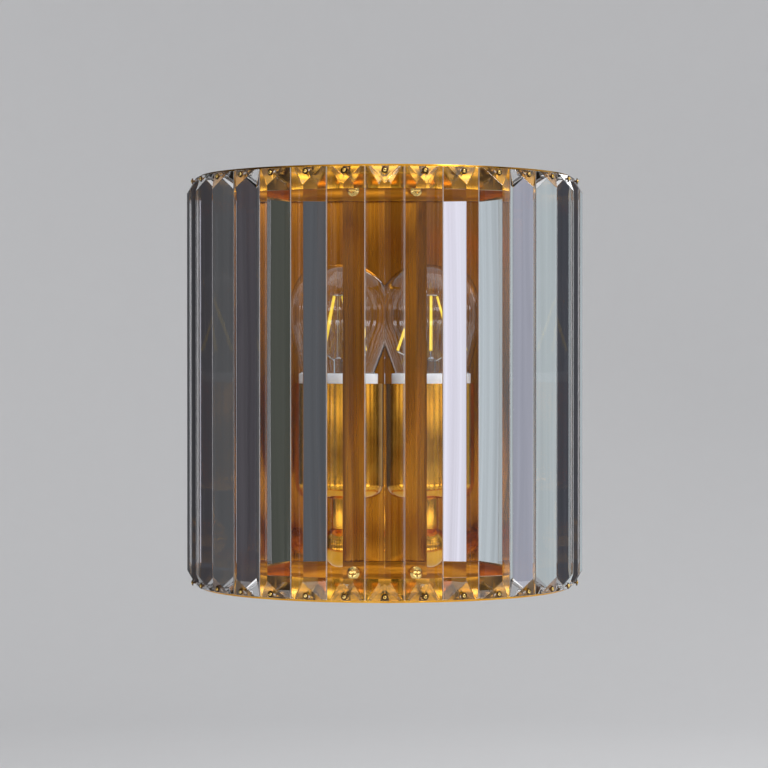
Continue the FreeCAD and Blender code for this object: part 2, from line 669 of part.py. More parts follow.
def make_cup():
    low = "(-Size.cup_bottom_drop)"
    high = "(-Size.cup_top_drop)"
    cup = turned("holder_cup", [
        (nipple_hole, low),
        ("Size.cup_radius - Size.cup_round", low),
        ("Size.cup_radius", f"{low} + Size.cup_round"),
        ("Size.cup_radius", high),
        ("Size.cup_radius - Size.cup_wall", high),
        ("Size.cup_radius - Size.cup_wall", f"{low} + Size.cup_round"),
        ("Size.cup_radius - Size.cup_round", f"{low} + Size.cup_wall"),
        (nipple_hole, f"{low} + Size.cup_wall"),
    ], {1: ("Size.cup_round", 1), 5: ("(Size.cup_round - Size.cup_wall)", -1)})
    return place(cup, y=bulb_axis)


def make_lampholder_body():
    """Upper half: a socket for the screw shell under a wide mouth, on a solid floor."""
    mouth = "(Size.holder_radius - Size.holder_skirt_wall)"
    step = "(Size.holder_top - Size.holder_skirt_depth)"
    body = turned("lampholder_body", [
        ("0", holder_joint),
        ("Size.holder_radius", holder_joint),
        ("Size.holder_radius", "Size.holder_top - Size.holder_rim_round"),
        ("Size.holder_radius - Size.holder_rim_round", "Size.holder_top"),
        (mouth, "Size.holder_top"),
        (mouth, step),
        (socket_radius, step),
        (socket_radius, holder_floor),
        ("0", holder_floor),
    ], {2: ("Size.holder_rim_round", 1)})
    return place(body, y=bulb_axis)


def make_lampholder_base():
    """Lower half: a chamber for the terminals over the tube's threaded entry."""
    inside = "(Size.holder_radius - Size.holder_base_wall)"
    base = turned("lampholder_base", [
        (nipple_hole, holder_bottom),
        ("Size.holder_radius", holder_bottom),
        ("Size.holder_radius", holder_joint),
        (inside, holder_joint),
        (inside, neck_top),
        (nipple_hole, neck_top),
    ])
    return place(base, y=bulb_axis)


def wave(middle, low, turns, rising):
    """Corners and arc sides of a round thread's outline, up from its lowest point or down to it."""
    steps = int(worth(turns)) * 2
    corners = [(middle, f"{low} + {step} * Size.thread_pitch / 2") for step in range(steps + 1)]
    sides = [1 if step % 2 else -1 for step in range(steps)]
    if not rising:
        corners.reverse()
        sides = [-side for side in reversed(sides)]
    return corners, sides


wave_radius = "((Size.thread_pitch ^ 2 / 16 + Size.thread_depth ^ 2 / 4) / Size.thread_depth)"


def threaded(label, outside, wall, low, turns, head=(), foot=()):
    """Thin threaded sleeve; head and foot are corners that go over its top and under its bottom."""
    up, up_sides = wave(f"({outside})", low, turns, True)
    down, down_sides = wave(f"({outside} - {wall})", low, turns, False)
    corners = up + list(head) + down + list(foot)
    bends = {number: (wave_radius, side) for number, side in enumerate(up_sides)}
    first = len(up) + len(head)
    bends.update({first + number: (wave_radius, side) for number, side in enumerate(down_sides)})
    return place(turned(label, corners, bends), y=bulb_axis)


def make_lampholder_shell():
    outside = f"{shell_inside} + Size.thread_depth / 2 + Size.shell_wall"
    low = f"({holder_floor} + Size.seat_gap)"
    return threaded("lampholder_shell", outside, "Size.shell_wall", low, "Size.shell_turns")


def make_lampholder_contact():
    """Sprung strip: its foot on the socket's floor, its tip just under the bulb's end contact."""
    strip = body_named("lampholder_contact")
    side = sketch_on(strip, "Side", "XZ_Plane")
    thick = "Size.contact_thickness"
    top = f"({bulb_tip} - Size.seat_gap)"
    draw_outline(side, [
        ("-Size.contact_run", holder_floor),
        ("-Size.contact_run / 2", holder_floor),
        ("-Size.contact_run / 4", f"{top} - {thick}"),
        ("Size.contact_width / 2", f"{top} - {thick}"),
        ("Size.contact_width / 2", top),
        ("-Size.contact_run / 4", top),
        ("-Size.contact_run / 2", f"{holder_floor} + {thick}"),
        ("-Size.contact_run", f"{holder_floor} + {thick}"),
    ])
    pad(strip, side, "Size.contact_width", symmetric=True)
    return place(strip, y=bulb_axis)


def terminal_template():
    """Brass block with its top at z = 0 and a wire hole from below."""
    block = body_named("terminal")
    sketch = sketch_on(block, "Outline", "XY_Plane")
    half = "(Size.terminal_width / 2)"
    draw_box(sketch, f"-{half}", f"-{half}", half, half)
    draw_circle(sketch, "0", "0", "Size.wire_radius + Size.fit_gap")
    pad(block, sketch, "Size.terminal_height", reverse=True)
    return block


# ---- bulb

def make_bulb_cap():
    inner = "Size.cap_wall"
    ring = "Size.bulb_insulator_radius"
    middle = "(Size.cap_radius - Size.thread_depth / 2)"
    thread_top = f"({cap_bottom} + {thread_height})"
    return threaded("bulb_cap", middle, inner, cap_bottom, "Size.thread_turns", head=[
        ("Size.cap_radius", f"{thread_top} + {inner}"),
        ("Size.cap_radius", cap_top),
        (f"Size.cap_radius - {inner}", cap_top),
        (f"Size.cap_radius - {inner}", f"{thread_top} + {inner}"),
    ], foot=[
        (ring, cap_bottom),
        (ring, f"{cap_bottom} - {inner}"),
        (middle, f"{cap_bottom} - {inner}"),
    ])


def make_bulb_insulator():
    low = f"({bulb_tip} + Size.bulb_contact_height)"
    insulator = turned("bulb_insulator", [
        ("0", low),
        ("Size.bulb_contact_radius + Size.cap_wall", low),
        ("Size.bulb_insulator_radius - Size.fit_gap", f"{cap_bottom} - Size.cap_wall"),
        ("Size.bulb_insulator_radius - Size.fit_gap", cap_bottom),
        ("0", cap_bottom),
    ])
    return place(insulator, y=bulb_axis)


def make_bulb_contact():
    radius = "Size.bulb_contact_radius"
    contact = turned("bulb_contact", [
        ("0", bulb_tip),
        (f"{radius} / 2", bulb_tip),
        (radius, f"{bulb_tip} + Size.bulb_contact_height / 2"),
        (radius, f"{bulb_tip} + Size.bulb_contact_height"),
        ("0", f"{bulb_tip} + Size.bulb_contact_height"),
    ])
    return place(contact, y=bulb_axis)


glass_foot = f"({cap_top} - Size.cap_collar + Size.seat_gap)"
glass_shoulder = f"({cap_top} + Size.seat_gap)"
neck_inside = "(Size.cap_radius - Size.cap_wall - Size.seat_gap)"


def make_bulb_glass():
    """Ball on a cone that rises from an upright neck and meets the ball smoothly."""
    ball = "Size.bulb_radius"
    neck = "Size.bulb_neck_radius"
    wall = "Size.bulb_glass_wall"
    middle = f"(Size.bulb_top - {ball})"
    neck_end = f"({glass_shoulder} + Size.bulb_neck_height)"
    rise = f"({middle} - {neck_end})"
    slant = f"(asin({ball} / sqrt({neck} ^ 2 + {rise} ^ 2)) - atan({neck} / {rise}))"

    def meeting(radius):
        return f"{radius} * cos({slant})", f"{middle} - {radius} * sin({slant})"

    glass = turned("bulb_glass", [
        (neck_inside, glass_foot),
        (neck_inside, glass_shoulder),
        (neck, glass_shoulder),
        (neck, neck_end),
        meeting(ball),
        ("0", "Size.bulb_top"),
        ("0", f"Size.bulb_top - {wall}"),
        meeting(f"({ball} - {wall})"),
        (f"{neck} - {wall}", f"{neck_end} + {wall} * tan({slant} / 2)"),
        (f"{neck} - {wall}", f"{glass_shoulder} + {wall}"),
        (f"{neck_inside} - {wall}", f"{glass_shoulder} + {wall}"),
        (f"{neck_inside} - {wall}", glass_foot),
    ], {4: (ball, 1), 6: (f"({ball} - {wall})", -1)})
    return place(glass, y=bulb_axis)


def make_bulb_stem():
    """Foot in the neck, a cone, the pinched stem and a thin rod up the middle."""
    foot = f"({neck_inside} - Size.bulb_glass_wall - Size.seat_gap)"
    foot_top = f"({glass_foot} + Size.stem_foot)"
    stem = turned("bulb_stem", [
        ("0", glass_foot),
        (foot, glass_foot),
        (foot, foot_top),
        ("Size.stem_radius", f"{foot_top} + Size.stem_cone"),
        ("Size.stem_radius", "Size.stem_top"),
        ("Size.rod_radius", "Size.stem_top + Size.stem_foot"),
        ("Size.rod_radius", filament_high),
        ("0", filament_high),
    ])
    return place(stem, y=bulb_axis)


filament_rise = "sqrt(Size.filament_length ^ 2 - Size.filament_lean ^ 2)"
filament_high = f"(Size.filament_low + {filament_rise})"


def filament_turns():
    count = int(worth("Size.filament_count"))
    first = worth("Size.filament_turn")
    return [Rotation(Vector(0, 0, 1), first + 360 / count * number) for number in range(count)]


def filament_places():
    """Lower end on a wide circle, upper end leaning in."""
    lean = Rotation(Vector(0, 1, 0), -math.degrees(math.asin(worth("Size.filament_lean / Size.filament_length"))))
    foot = Vector(worth("Size.filament_spread"), 0, worth("Size.filament_low"))
    middle = Vector(0, worth(bulb_axis), 0)
    return [Placement(middle + around.multVec(foot), around.multiply(lean)) for around in filament_turns()]


def make_filament_wires():
    """Short wires over the upper ends, and slanting wires from the stem to the lower ends."""
    radius = worth("Size.filament_wire")
    middle = Vector(0, worth(bulb_axis), 0)
    spread = worth("Size.filament_spread")
    upper_end = worth("Size.filament_spread - Size.filament_lean")
    over = worth(f"{filament_high} + Size.seat_gap + Size.filament_wire")
    under = worth("Size.filament_low - Size.seat_gap - Size.filament_wire")
    leave = Vector(worth("Size.stem_radius + Size.seat_gap"), 0, worth("Size.stem_top - Size.stem_foot"))
    wires = []
    for around in filament_turns():
        for start, end in ((Vector(radius, 0, over), Vector(upper_end, 0, over)),
                           (leave, Vector(spread, 0, under))):
            way = around.multVec(end - start)
            wires.append(Part.makeCylinder(radius, way.Length, middle + around.multVec(start), way))
    feature = doc.addObject("Part::Feature", "filament_wires")
    feature.Label = "filament_wires"
    feature.Shape = Part.makeCompound(wires)
    return feature


# ---- leads

def lead(label, corners, bends):
    """Round lead along straight runs joined by tangent arcs; bends are the arcs' radii."""
    points = [Vector(*(worth(text) for text in corner)) for corner in corners]
    radius = worth("Size.wire_radius")
    edges = []
    start = points[0]
    for before, corner, after, bend in zip(points, points[1:], points[2:], bends):
        into = (corner - before).normalize()
        out = (after - corner).normalize()
        half_turn = into.getAngle(out) / 2
        bend = worth(bend)
        first = corner - into * (bend * math.tan(half_turn))
        last = corner + out * (bend * math.tan(half_turn))
        crown = corner + (out - into).normalize() * (bend / math.cos(half_turn) - bend)
        edges.append(Part.LineSegment(start, first).toShape())
        edges.append(Part.Arc(first, crown, last).toShape())
        start = last
    edges.append(Part.LineSegment(start, points[-1]).toShape())
    path = Part.Wire(edges)
    section = Part.Wire(Part.Circle(points[0], points[1] - points[0], radius).toShape())
    tube = path.makePipeShell([section], True, False)
    expected = math.pi * radius ** 2 * path.Length
    print(f"{label}: {path.Length:.1f} mm long, volume {tube.Volume:.1f} for {expected:.1f}")
    feature = doc.addObject("Part::Feature", label)
    feature.Label = label
    feature.Shape = tube
    return feature


def make_mains_lead(label, way, sign):
    """From the terminal block down behind the plate, along the arm and up into the lampholder."""
    beside = f"{sign}Size.wire_offset"
    end = f"{sign}Size.terminal_side"
    behind = "-Size.wire_wall_gap"
    block_low = "Size.block_drop - Size.block_height / 2"
    return lead(label, [
        (way, wire_way, f"{block_low} + Size.block_height / 4"),
        (way, wire_way, f"{block_low} - Size.block_height"),
        (beside, behind, f"{arm_axis} + Size.block_height * 2"),
        (beside, behind, arm_axis),
        (beside, bulb_axis, arm_axis),
        (beside, bulb_axis, f"{neck_top} + Size.wire_radius"),
        (end, bulb_axis, f"{holder_joint} - Size.terminal_height - Size.wire_radius * 2"),
        (end, bulb_axis, f"{holder_joint} - Size.terminal_height / 2"),
    ], ["Size.wire_neck_bend", "Size.wire_neck_bend", "Size.wire_bend", "Size.wire_neck_bend",
        "Size.wire_radius * 2", "Size.wire_radius * 2"])


def make_earth_lead():
    block_low = "Size.block_drop - Size.block_height / 2"
    barrel = f"({bracket_front} - Size.lug_barrel_radius)"
    lug_end = "(-Size.earth_screw_drop - Size.lug_length)"
    return lead("earth_wire", [
        ("Size.block_pitch", wire_way, f"{block_low} + Size.block_height / 4"),
        ("Size.block_pitch", wire_way, f"{lug_end} - Size.block_height / 2"),
        ("Size.earth_screw_side", barrel, f"{lug_end} - Size.block_height"),
        ("Size.earth_screw_side", barrel, f"{lug_end} + Size.lug_barrel_length / 2"),
    ], ["Size.wire_neck_bend", "Size.wire_neck_bend"])


def make_earth_lug():
    """Eye under the earth screw, with a tongue down to the barrel that holds the earth lead."""
    lug = body_named("earth_lug")
    eye = sketch_on(lug, "Eye", "XZ_Plane")
    draw_circle(eye, "0", "0", "Size.lug_radius")
    draw_circle(eye, "0", "0", screw_hole)
    pad(lug, eye, "Size.lug_thickness")
    tongue = sketch_on(lug, "Tongue", "XZ_Plane")
    barrel_top = "(Size.lug_barrel_length - Size.lug_length)"
    draw_box(tongue, "-Size.lug_tongue_width / 2", f"{barrel_top} - Size.lug_thickness",
             "Size.lug_tongue_width / 2", f"-({screw_hole} + Size.lug_radius) / 2")
    pad(lug, tongue, "Size.lug_thickness")
    barrel = sketch_on(lug, "Barrel", "XY_Plane", "-Size.lug_length")
    draw_circle(barrel, "0", "-Size.lug_barrel_radius", "Size.lug_barrel_radius")
    pad(lug, barrel, "Size.lug_barrel_length")
    bore = sketch_on(lug, "Bore", "XY_Plane", "-Size.lug_length")
    draw_circle(bore, "0", "-Size.lug_barrel_radius", "Size.wire_radius + Size.fit_gap")
    pocket(lug, bore, "Size.lug_barrel_length", reverse=True)
    return place(lug, x="Size.earth_screw_side", y=bracket_front, z="-Size.earth_screw_drop")


# ---- the whole light

def fastener_places(spots, rotation):
    """Places for fasteners from lists of three expressions."""
    return [Placement(Vector(*(worth(text) for text in spot)), rotation) for spot in spots]


def ring_screw_spots(sign, out):
    return [(f"{side}{ring_screw_side}", out, f"{sign}{ring_middle}") for side in ("-", "")]


def build_light():
    m4 = ("Size.screw_radius", "Size.screw_head_radius", "Size.screw_head_height")
    screw = pan_screw("m4_screw", *m4, "Size.screw_length")
    nut = hex_nut("m4_nut", "Size.nut_across", "Size.nut_height", screw_hole)
    pin = pin_template()
    grub = terminal_screw("grub_screw")
    terminal = terminal_template()
    stick = turned("filament", [
        ("0", "0"),
        ("Size.filament_radius", "0"),
        ("Size.filament_radius", "Size.filament_length"),
        ("0", "Size.filament_length"),
    ])
    doc.recompute()

    pieces = [make_back_plate(), make_wall_bracket(), make_terminal_block()]
    side_screws = fastener_places([("Size.plate_width / 2", "-Size.side_screw_out", "Size.side_screw_rise")],
                                  FACE_RIGHT)
    side_screws += fastener_places([("-Size.plate_width / 2", "-Size.side_screw_out", "Size.side_screw_rise")],
                                   FACE_LEFT)
    pieces.append(group("bracket_screws", screw, side_screws))
    rows = [(f"{number} * Size.block_pitch", f"{wire_way} - Size.wire_radius - Size.fit_gap",
             f"Size.block_drop {side} Size.block_screw_row") for number in (-1, 0, 1) for side in ("-", "+")]
    pieces.append(group("terminal_screws", grub, fastener_places(rows, FACE_OUT)))
    block_screw = pan_screw("block_screw", "Size.small_screw_radius", "Size.small_head_radius",
                            "Size.small_head_height", "(Size.block_depth + Size.bracket_thickness - Size.fit_gap)")
    pieces.append(place(block_screw, "Size.block_pitch / 2", block_front, "Size.block_drop", FACE_OUT))
    earth_screw = pan_screw("earth_screw", *m4, "Size.earth_screw_length")
    pieces.append(place(earth_screw, "Size.earth_screw_side", f"{bracket_front} - Size.lug_thickness",
                        "-Size.earth_screw_drop", FACE_OUT))
    pieces.append(make_earth_lug())

    bar_front = f"{plate_front} - Size.ring_thickness"
    for name, sign in (("upper", ""), ("lower", "-")):
        pieces.append(make_ring(f"{name}_ring", sign))
        spots = ring_screw_spots(sign, bar_front)
        pieces.append(group(f"{name}_ring_screws", screw, fastener_places(spots, FACE_OUT)))
        pieces.append(group(f"{name}_pins", pin, pin_places(sign)))
    spots = [spot for sign in ("", "-") for spot in ring_screw_spots(sign, f"{plate_inside} + Size.nut_height")]
    pieces.append(group("ring_nuts", nut, fastener_places(spots, FACE_OUT)))
    pieces += [make_crystal(number) for number in range(int(worth("Size.crystal_count")))]

    pieces += [make_arm(), make_arm_ball(), make_washer()]
    nipple = make_tube("arm_nipple", "-(Size.plate_thickness + Size.nipple_tail)", "Size.arm_back_wall")
    pieces.append(place(nipple, y=plate_front, z=arm_axis, rotation=FACE_OUT))
    big_nut = ("Size.big_nut_across", "Size.big_nut_height", nipple_hole)
    pieces.append(place(hex_nut("arm_nut", *big_nut), z=arm_axis, rotation=FACE_OUT,
                        y=f"{plate_inside} + Size.washer_thickness + Size.big_nut_height"))
    neck = make_tube("neck_tube", f"{arm_axis} + {ball_top} - Size.neck_into_ball", neck_top)
    pieces.append(place(neck, y=bulb_axis))
    pieces.append(place(hex_nut("cup_nut", *big_nut), y=bulb_axis, z="Size.cup_wall - Size.cup_bottom_drop"))
    pieces += [make_cup(), make_lampholder_body(), make_lampholder_base()]
    pieces += [make_lampholder_shell(), make_lampholder_contact()]
    ends = [(f"{side}Size.terminal_side", bulb_axis, holder_joint) for side in ("-", "")]
    pieces.append(group("holder_terminals", terminal, fastener_places(ends, Rotation())))

    pieces += [make_bulb_glass(), make_bulb_cap(), make_bulb_insulator(), make_bulb_contact(), make_bulb_stem()]
    pieces.append(group("bulb_filaments", stick, filament_places()))
    pieces.append(make_filament_wires())
    pieces += [make_mains_lead("live_wire", "-Size.block_pitch", "-"), make_mains_lead("neutral_wire", "0", "")]
    pieces.append(make_earth_lead())
    return pieces


pieces = build_light()
doc.recompute()

faults = [item.Name for item in doc.Objects if "Invalid" in item.State or "Error" in item.State]
faults += [piece.Label for piece in pieces if piece.Shape.isNull() or not piece.Shape.isValid()]
if faults:
    raise RuntimeError(f"failed: {faults}")

os.makedirs("parts", exist_ok=True)
for piece in pieces:
    piece.Shape.exportStep(f"parts/{piece.Label}.step")
    box = piece.Shape.BoundBox
    print(f"{piece.Label}: {len(piece.Shape.Solids)} solids, {piece.Shape.Volume:.0f} mm3, "
          f"x {box.XMin:.1f} {box.XMax:.1f}, y {box.YMin:.1f} {box.YMax:.1f}, z {box.ZMin:.1f} {box.ZMax:.1f}")
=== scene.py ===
import json
import math

import bmesh
import bpy
from mathutils import Matrix, Vector


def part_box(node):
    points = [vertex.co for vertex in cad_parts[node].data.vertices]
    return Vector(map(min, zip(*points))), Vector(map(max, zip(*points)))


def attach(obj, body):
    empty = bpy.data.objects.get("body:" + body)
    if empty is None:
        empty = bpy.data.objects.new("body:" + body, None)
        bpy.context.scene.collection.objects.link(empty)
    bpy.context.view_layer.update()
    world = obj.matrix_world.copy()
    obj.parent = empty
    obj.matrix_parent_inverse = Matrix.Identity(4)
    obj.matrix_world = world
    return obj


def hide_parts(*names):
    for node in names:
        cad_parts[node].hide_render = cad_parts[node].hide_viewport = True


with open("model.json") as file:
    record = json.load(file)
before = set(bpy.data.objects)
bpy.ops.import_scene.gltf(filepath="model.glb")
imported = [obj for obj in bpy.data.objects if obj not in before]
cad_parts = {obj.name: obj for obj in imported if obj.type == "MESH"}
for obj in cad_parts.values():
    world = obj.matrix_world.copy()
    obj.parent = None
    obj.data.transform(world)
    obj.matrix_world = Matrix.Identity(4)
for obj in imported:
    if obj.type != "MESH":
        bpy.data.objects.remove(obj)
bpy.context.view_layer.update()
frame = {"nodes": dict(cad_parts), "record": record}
nodes = frame["nodes"]
scene = bpy.context.scene
scene.view_settings.view_transform = "Standard"
mm = 0.001


# a socket that takes part in plain sums
class Value:
    def __init__(self, finish, socket):
        self.finish = finish
        self.socket = socket

    def __add__(self, other):
        return self.finish.maths("ADD", self, other)

    def __radd__(self, other):
        return self.finish.maths("ADD", other, self)

    def __rsub__(self, other):
        return self.finish.maths("SUBTRACT", other, self)

    def __mul__(self, other):
        return self.finish.maths("MULTIPLY", self, other)

    def __rmul__(self, other):
        return self.finish.maths("MULTIPLY", other, self)


# a material or world, with its nodes made by name
class Finish:
    def __init__(self, name, owner=None):
        self.owner = owner or bpy.data.materials.new(name)
        self.owner.use_nodes = True
        self.tree = self.owner.node_tree
        self.tree.nodes.clear()

    def plug(self, value, socket):
        if isinstance(value, Value):
            self.tree.links.new(value.socket, socket)
        elif isinstance(value, tuple) and socket.type == "RGBA":
            socket.default_value = (*value, 1)[:4]
        else:
            socket.default_value = value

    def node(self, kind, sockets=None, out=0, stops=None, **settings):
        made = self.tree.nodes.new(kind)
        for setting, value in settings.items():
            setattr(made, setting, value)
        if stops:
            for _ in stops[2:]:
                made.color_ramp.elements.new(0.5)
            for element, (place, colour) in zip(made.color_ramp.elements, stops):
                element.position = place
                element.color = (*colour, 1)
        for socket, value in (sockets or {}).items():
            self.plug(value, made.inputs[socket])
        return Value(self, made.outputs[out])

    def maths(self, operation, first, second=0.0):
        return self.node("ShaderNodeMath", {0: first, 1: second}, operation=operation)

    def coordinates(self):
        return self.node("ShaderNodeTexCoord", out="Object")

    def stretched(self, vector, scale):
        return self.node("ShaderNodeMapping", {"Vector": vector, "Scale": scale})

    def axis(self, vector, letter):
        return self.node("ShaderNodeSeparateXYZ", {"Vector": vector}, out=letter)

    def noise(self, vector, scale, detail=2.0, roughness=0.5):
        return self.node("ShaderNodeTexNoise", {"Vector": vector, "Scale": scale, "Detail": detail,
                                                "Roughness": roughness})

    def within(self, value, low, high, least=0.0, most=1.0):
        return self.node("ShaderNodeMapRange", {0: value, 1: low, 2: high, 3: least, 4: most}, clamp=True)

    def mixed(self, factor, first, second):
        return self.node("ShaderNodeMix", {0: factor, 6: first, 7: second}, out=2, data_type="RGBA")

    def bump(self, height, strength, distance):
        return self.node("ShaderNodeBump", {"Height": height, "Strength": strength, "Distance": distance})

    def surface(self, sockets):
        return self.node("ShaderNodeBsdfPrincipled", sockets)

    def done(self, shader):
        end = self.tree.nodes.new("ShaderNodeOutputMaterial")
        self.tree.links.new(shader.socket, end.inputs["Surface"])
        return self.owner


# gold-coloured metal: long polished pieces, with soft smears and a few hairlines
polishedLook = {"deep": (0.74, 0.33, 0.022), "light": (0.93, 0.48, 0.055), "roughness": 0.15, "smears": 0.08}
metalGrain = {"smearScale": 70.0, "hairScale": 900.0, "relief": 0.03, "depth": 0.2 * mm}


def polish(finish, place, look):
    # the colour and roughness of polished metal, and its hairlines
    smears = finish.noise(place, metalGrain["smearScale"], 4.0)
    hairlines = finish.noise(place, metalGrain["hairScale"], 3.0)
    colour = finish.mixed(finish.within(smears, 0.3, 0.7), look["deep"], look["light"])
    worn = finish.within(smears * 0.7 + hairlines * 0.3, 0.35, 0.65)
    return colour, look["roughness"] + look["smears"] * worn, hairlines


def polishedMetal(name, look):
    finish = Finish(name)
    colour, roughness, hairlines = polish(finish, finish.coordinates(), look)
    return finish.done(finish.surface({
        "Base Color": colour,
        "Metallic": 1.0,
        "Roughness": roughness,
        "Normal": finish.bump(hairlines, metalGrain["relief"], metalGrain["depth"])}))


# the rings: polished round the front, brushed lengthwise and darker on the straight backs
bandLook = {"deep": (0.32, 0.112, 0.007), "light": (0.45, 0.18, 0.013), "roughness": 0.27,
            "strokeWidth": 0.5 * mm, "strokeLength": 60 * mm, "from": -21.5 * mm, "to": -19 * mm,
            "hairRelief": 0.3, "relief": 0.1}


def bandMetal(name, front, back):
    finish = Finish(name)
    place = finish.coordinates()
    polished, shine, hairlines = polish(finish, place, front)
    fine = 1 / back["strokeWidth"]
    strokes = finish.noise(finish.stretched(place, (1 / back["strokeLength"], fine, fine)), 1.0, 3.0, 0.6)
    smears = finish.noise(place, metalGrain["smearScale"], 4.0)
    tone = finish.within(strokes * 0.6 + smears * 0.4, 0.35, 0.65)
    brushed = finish.mixed(tone, back["deep"], back["light"])
    behind = finish.within(finish.axis(place, "Y"), back["from"], back["to"])
    height = hairlines * (1 - behind) * back["hairRelief"] + strokes * behind
    return finish.done(finish.surface({
        "Base Color": finish.mixed(behind, polished, brushed),
        "Metallic": 1.0,
        "Roughness": shine * (1 - behind) + (back["roughness"] + 0.08 * strokes) * behind,
        "Normal": finish.bump(height, back["relief"], metalGrain["depth"])}))


# the back plate: brushed up and down, darker and redder between the brush strokes
brushedLook = {"deep": (0.230, 0.073, 0.004), "mid": (0.310, 0.110, 0.007), "light": (0.41, 0.168, 0.013),
               "strokeWidth": 2.2 * mm, "strokeLength": 160 * mm, "fineWidth": 0.4 * mm,
               "clouds": (18, 18, 7), "roughness": 0.25, "relief": 0.12}


def brushedMetal(name, look):
    finish = Finish(name)
    place = finish.coordinates()
    wide = 1 / look["strokeWidth"]
    fine = 1 / look["fineWidth"]
    long = 1 / look["strokeLength"]
    strokes = finish.noise(finish.stretched(place, (wide, wide, long)), 1.0, 3.0, 0.6)
    fines = finish.noise(finish.stretched(place, (fine, fine, long * 2)), 1.0, 2.0, 0.6)
    clouds = finish.noise(finish.stretched(place, look["clouds"]), 1.0, 2.0)
    tone = strokes * 0.55 + fines * 0.2 + clouds * 0.25
    colour = finish.node("ShaderNodeValToRGB", {"Fac": tone}, stops=[
        (0.34, look["deep"]), (0.5, look["mid"]), (0.66, look["light"])])
    return finish.done(finish.surface({
        "Base Color": colour,
        "Metallic": 1.0,
        "Roughness": look["roughness"] + 0.07 * finish.within(fines, 0.3, 0.7),
        "Normal": finish.bump(strokes * 0.4 + fines * 0.6, look["relief"], metalGrain["depth"])}))


# plated steel of the hidden fixings, with a faint rolled grain
steelLook = {"colour": (0.62, 0.63, 0.65), "shade": (0.45, 0.46, 0.48), "roughness": 0.3,
             "grain": (60, 900, 900), "spangle": 260.0}


def platedSteel(name, look):
    finish = Finish(name)
    place = finish.coordinates()
    grain = finish.noise(finish.stretched(place, look["grain"]), 1.0, 3.0)
    spangle = finish.noise(place, look["spangle"], 2.0)
    return finish.done(finish.surface({
        "Base Color": finish.mixed(finish.within(spangle, 0.35, 0.65), look["shade"], look["colour"]),
        "Metallic": 1.0,
        "Roughness": look["roughness"] + 0.2 * grain,
        "Normal": finish.bump(grain, 0.12, 0.0001)}))


# clear cut crystal: lamps shine through it, and its striae bend what is behind by a hair
crystalLook = {"tint": (0.985, 0.99, 1.0), "index": 1.52, "passes": (0.90, 0.91, 0.93), "waves": 0.02}
glassGrain = {"striae": (60, 60, 9), "dust": 1400.0, "dusty": 0.012, "depth": 0.4 * mm}


def clearGlass(name, look):
    finish = Finish(name)
    place = finish.coordinates()
    striae = finish.noise(finish.stretched(place, glassGrain["striae"]), 1.0, 1.0)
    dust = finish.noise(place, glassGrain["dust"], 2.0)
    glass = finish.surface({
        "Base Color": finish.mixed(striae, look["tint"], (1.0, 1.0, 1.0)),
        "Roughness": glassGrain["dusty"] * finish.within(dust, 0.62, 0.8),
        "IOR": look["index"],
        "Transmission Weight": 1.0,
        "Normal": finish.bump(striae, look["waves"], glassGrain["depth"])})
    clear = finish.node("ShaderNodeBsdfTransparent", {"Color": look["passes"]})
    lamp = finish.node("ShaderNodeLightPath", out="Is Shadow Ray")
    return finish.done(finish.node("ShaderNodeMixShader", {0: lamp, 1: glass, 2: clear}))


# the narrow sides of a bar are left ground, so they catch light as white lines; the outer bars' ground sides
# are painted darker, a painted shade
groundLook = {"colour": (0.93, 0.90, 0.88), "paintedShade": (0.22, 0.215, 0.22), "from": 45 * mm, "to": 95 * mm,
              "grains": 3000.0, "roughness": 0.45, "index": 1.52, "clear": 0.45}


def groundGlass(name, look):
    finish = Finish(name)
    place = finish.coordinates()
    grains = finish.noise(place, look["grains"], 2.0)
    # painted shade: the ground sides get darker towards the outer bars
    outerShade = finish.within(finish.maths("ABSOLUTE", finish.axis(place, "X")), look["from"], look["to"])
    return finish.done(finish.surface({
        "Base Color": finish.mixed(outerShade, look["colour"], look["paintedShade"]),
        "Roughness": look["roughness"] + 0.2 * grains,
        "IOR": look["index"],
        "Transmission Weight": look["clear"],
        "Normal": finish.bump(grains, 0.2, 0.0001)}))


bulbLook = {"tint": (1.0, 1.0, 1.0), "index": 1.48, "passes": (0.96, 0.96, 0.96), "waves": 0.05}

# fired white glaze of the lampholder, a little uneven
glazeLook = {"colour": (0.86, 0.87, 0.89), "shade": (0.76, 0.78, 0.82), "roughness": 0.12}
nylonLook = {"colour": (0.84, 0.83, 0.78), "shade": (0.76, 0.75, 0.70), "roughness": 0.42}
blackLook = {"colour": (0.02, 0.02, 0.022), "shade": (0.012, 0.012, 0.014), "roughness": 0.15}
mouldedGrain = {"clouds": 55.0, "pores": 2400.0, "relief": 0.06, "depth": 0.3 * mm}


def mouldedSkin(name, look):
    finish = Finish(name)
    place = finish.coordinates()
    clouds = finish.noise(place, mouldedGrain["clouds"], 3.0)
    pores = finish.noise(place, mouldedGrain["pores"], 2.0)
    return finish.done(finish.surface({
        "Base Color": finish.mixed(finish.within(clouds, 0.35, 0.65), look["shade"], look["colour"]),
        "Roughness": look["roughness"] + 0.15 * pores,
        "Normal": finish.bump(pores * 0.3 + clouds * 0.7, mouldedGrain["relief"], mouldedGrain["depth"])}))


# insulation of the leads: only the earth lead has a stripe
leadLooks = {
    "brown_lead": {"colour": (0.16, 0.06, 0.025), "shade": (0.12, 0.045, 0.02), "roughness": 0.4},
    "blue_lead": {"colour": (0.03, 0.13, 0.45), "shade": (0.02, 0.10, 0.36), "roughness": 0.4},
    "green_lead": {"colour": (0.75, 0.62, 0.05), "shade": (0.04, 0.28, 0.06), "roughness": 0.4},
}
leadGrain = {"pores": 2600.0, "tone": 80.0, "stripes": 70.0, "wander": 0.6}


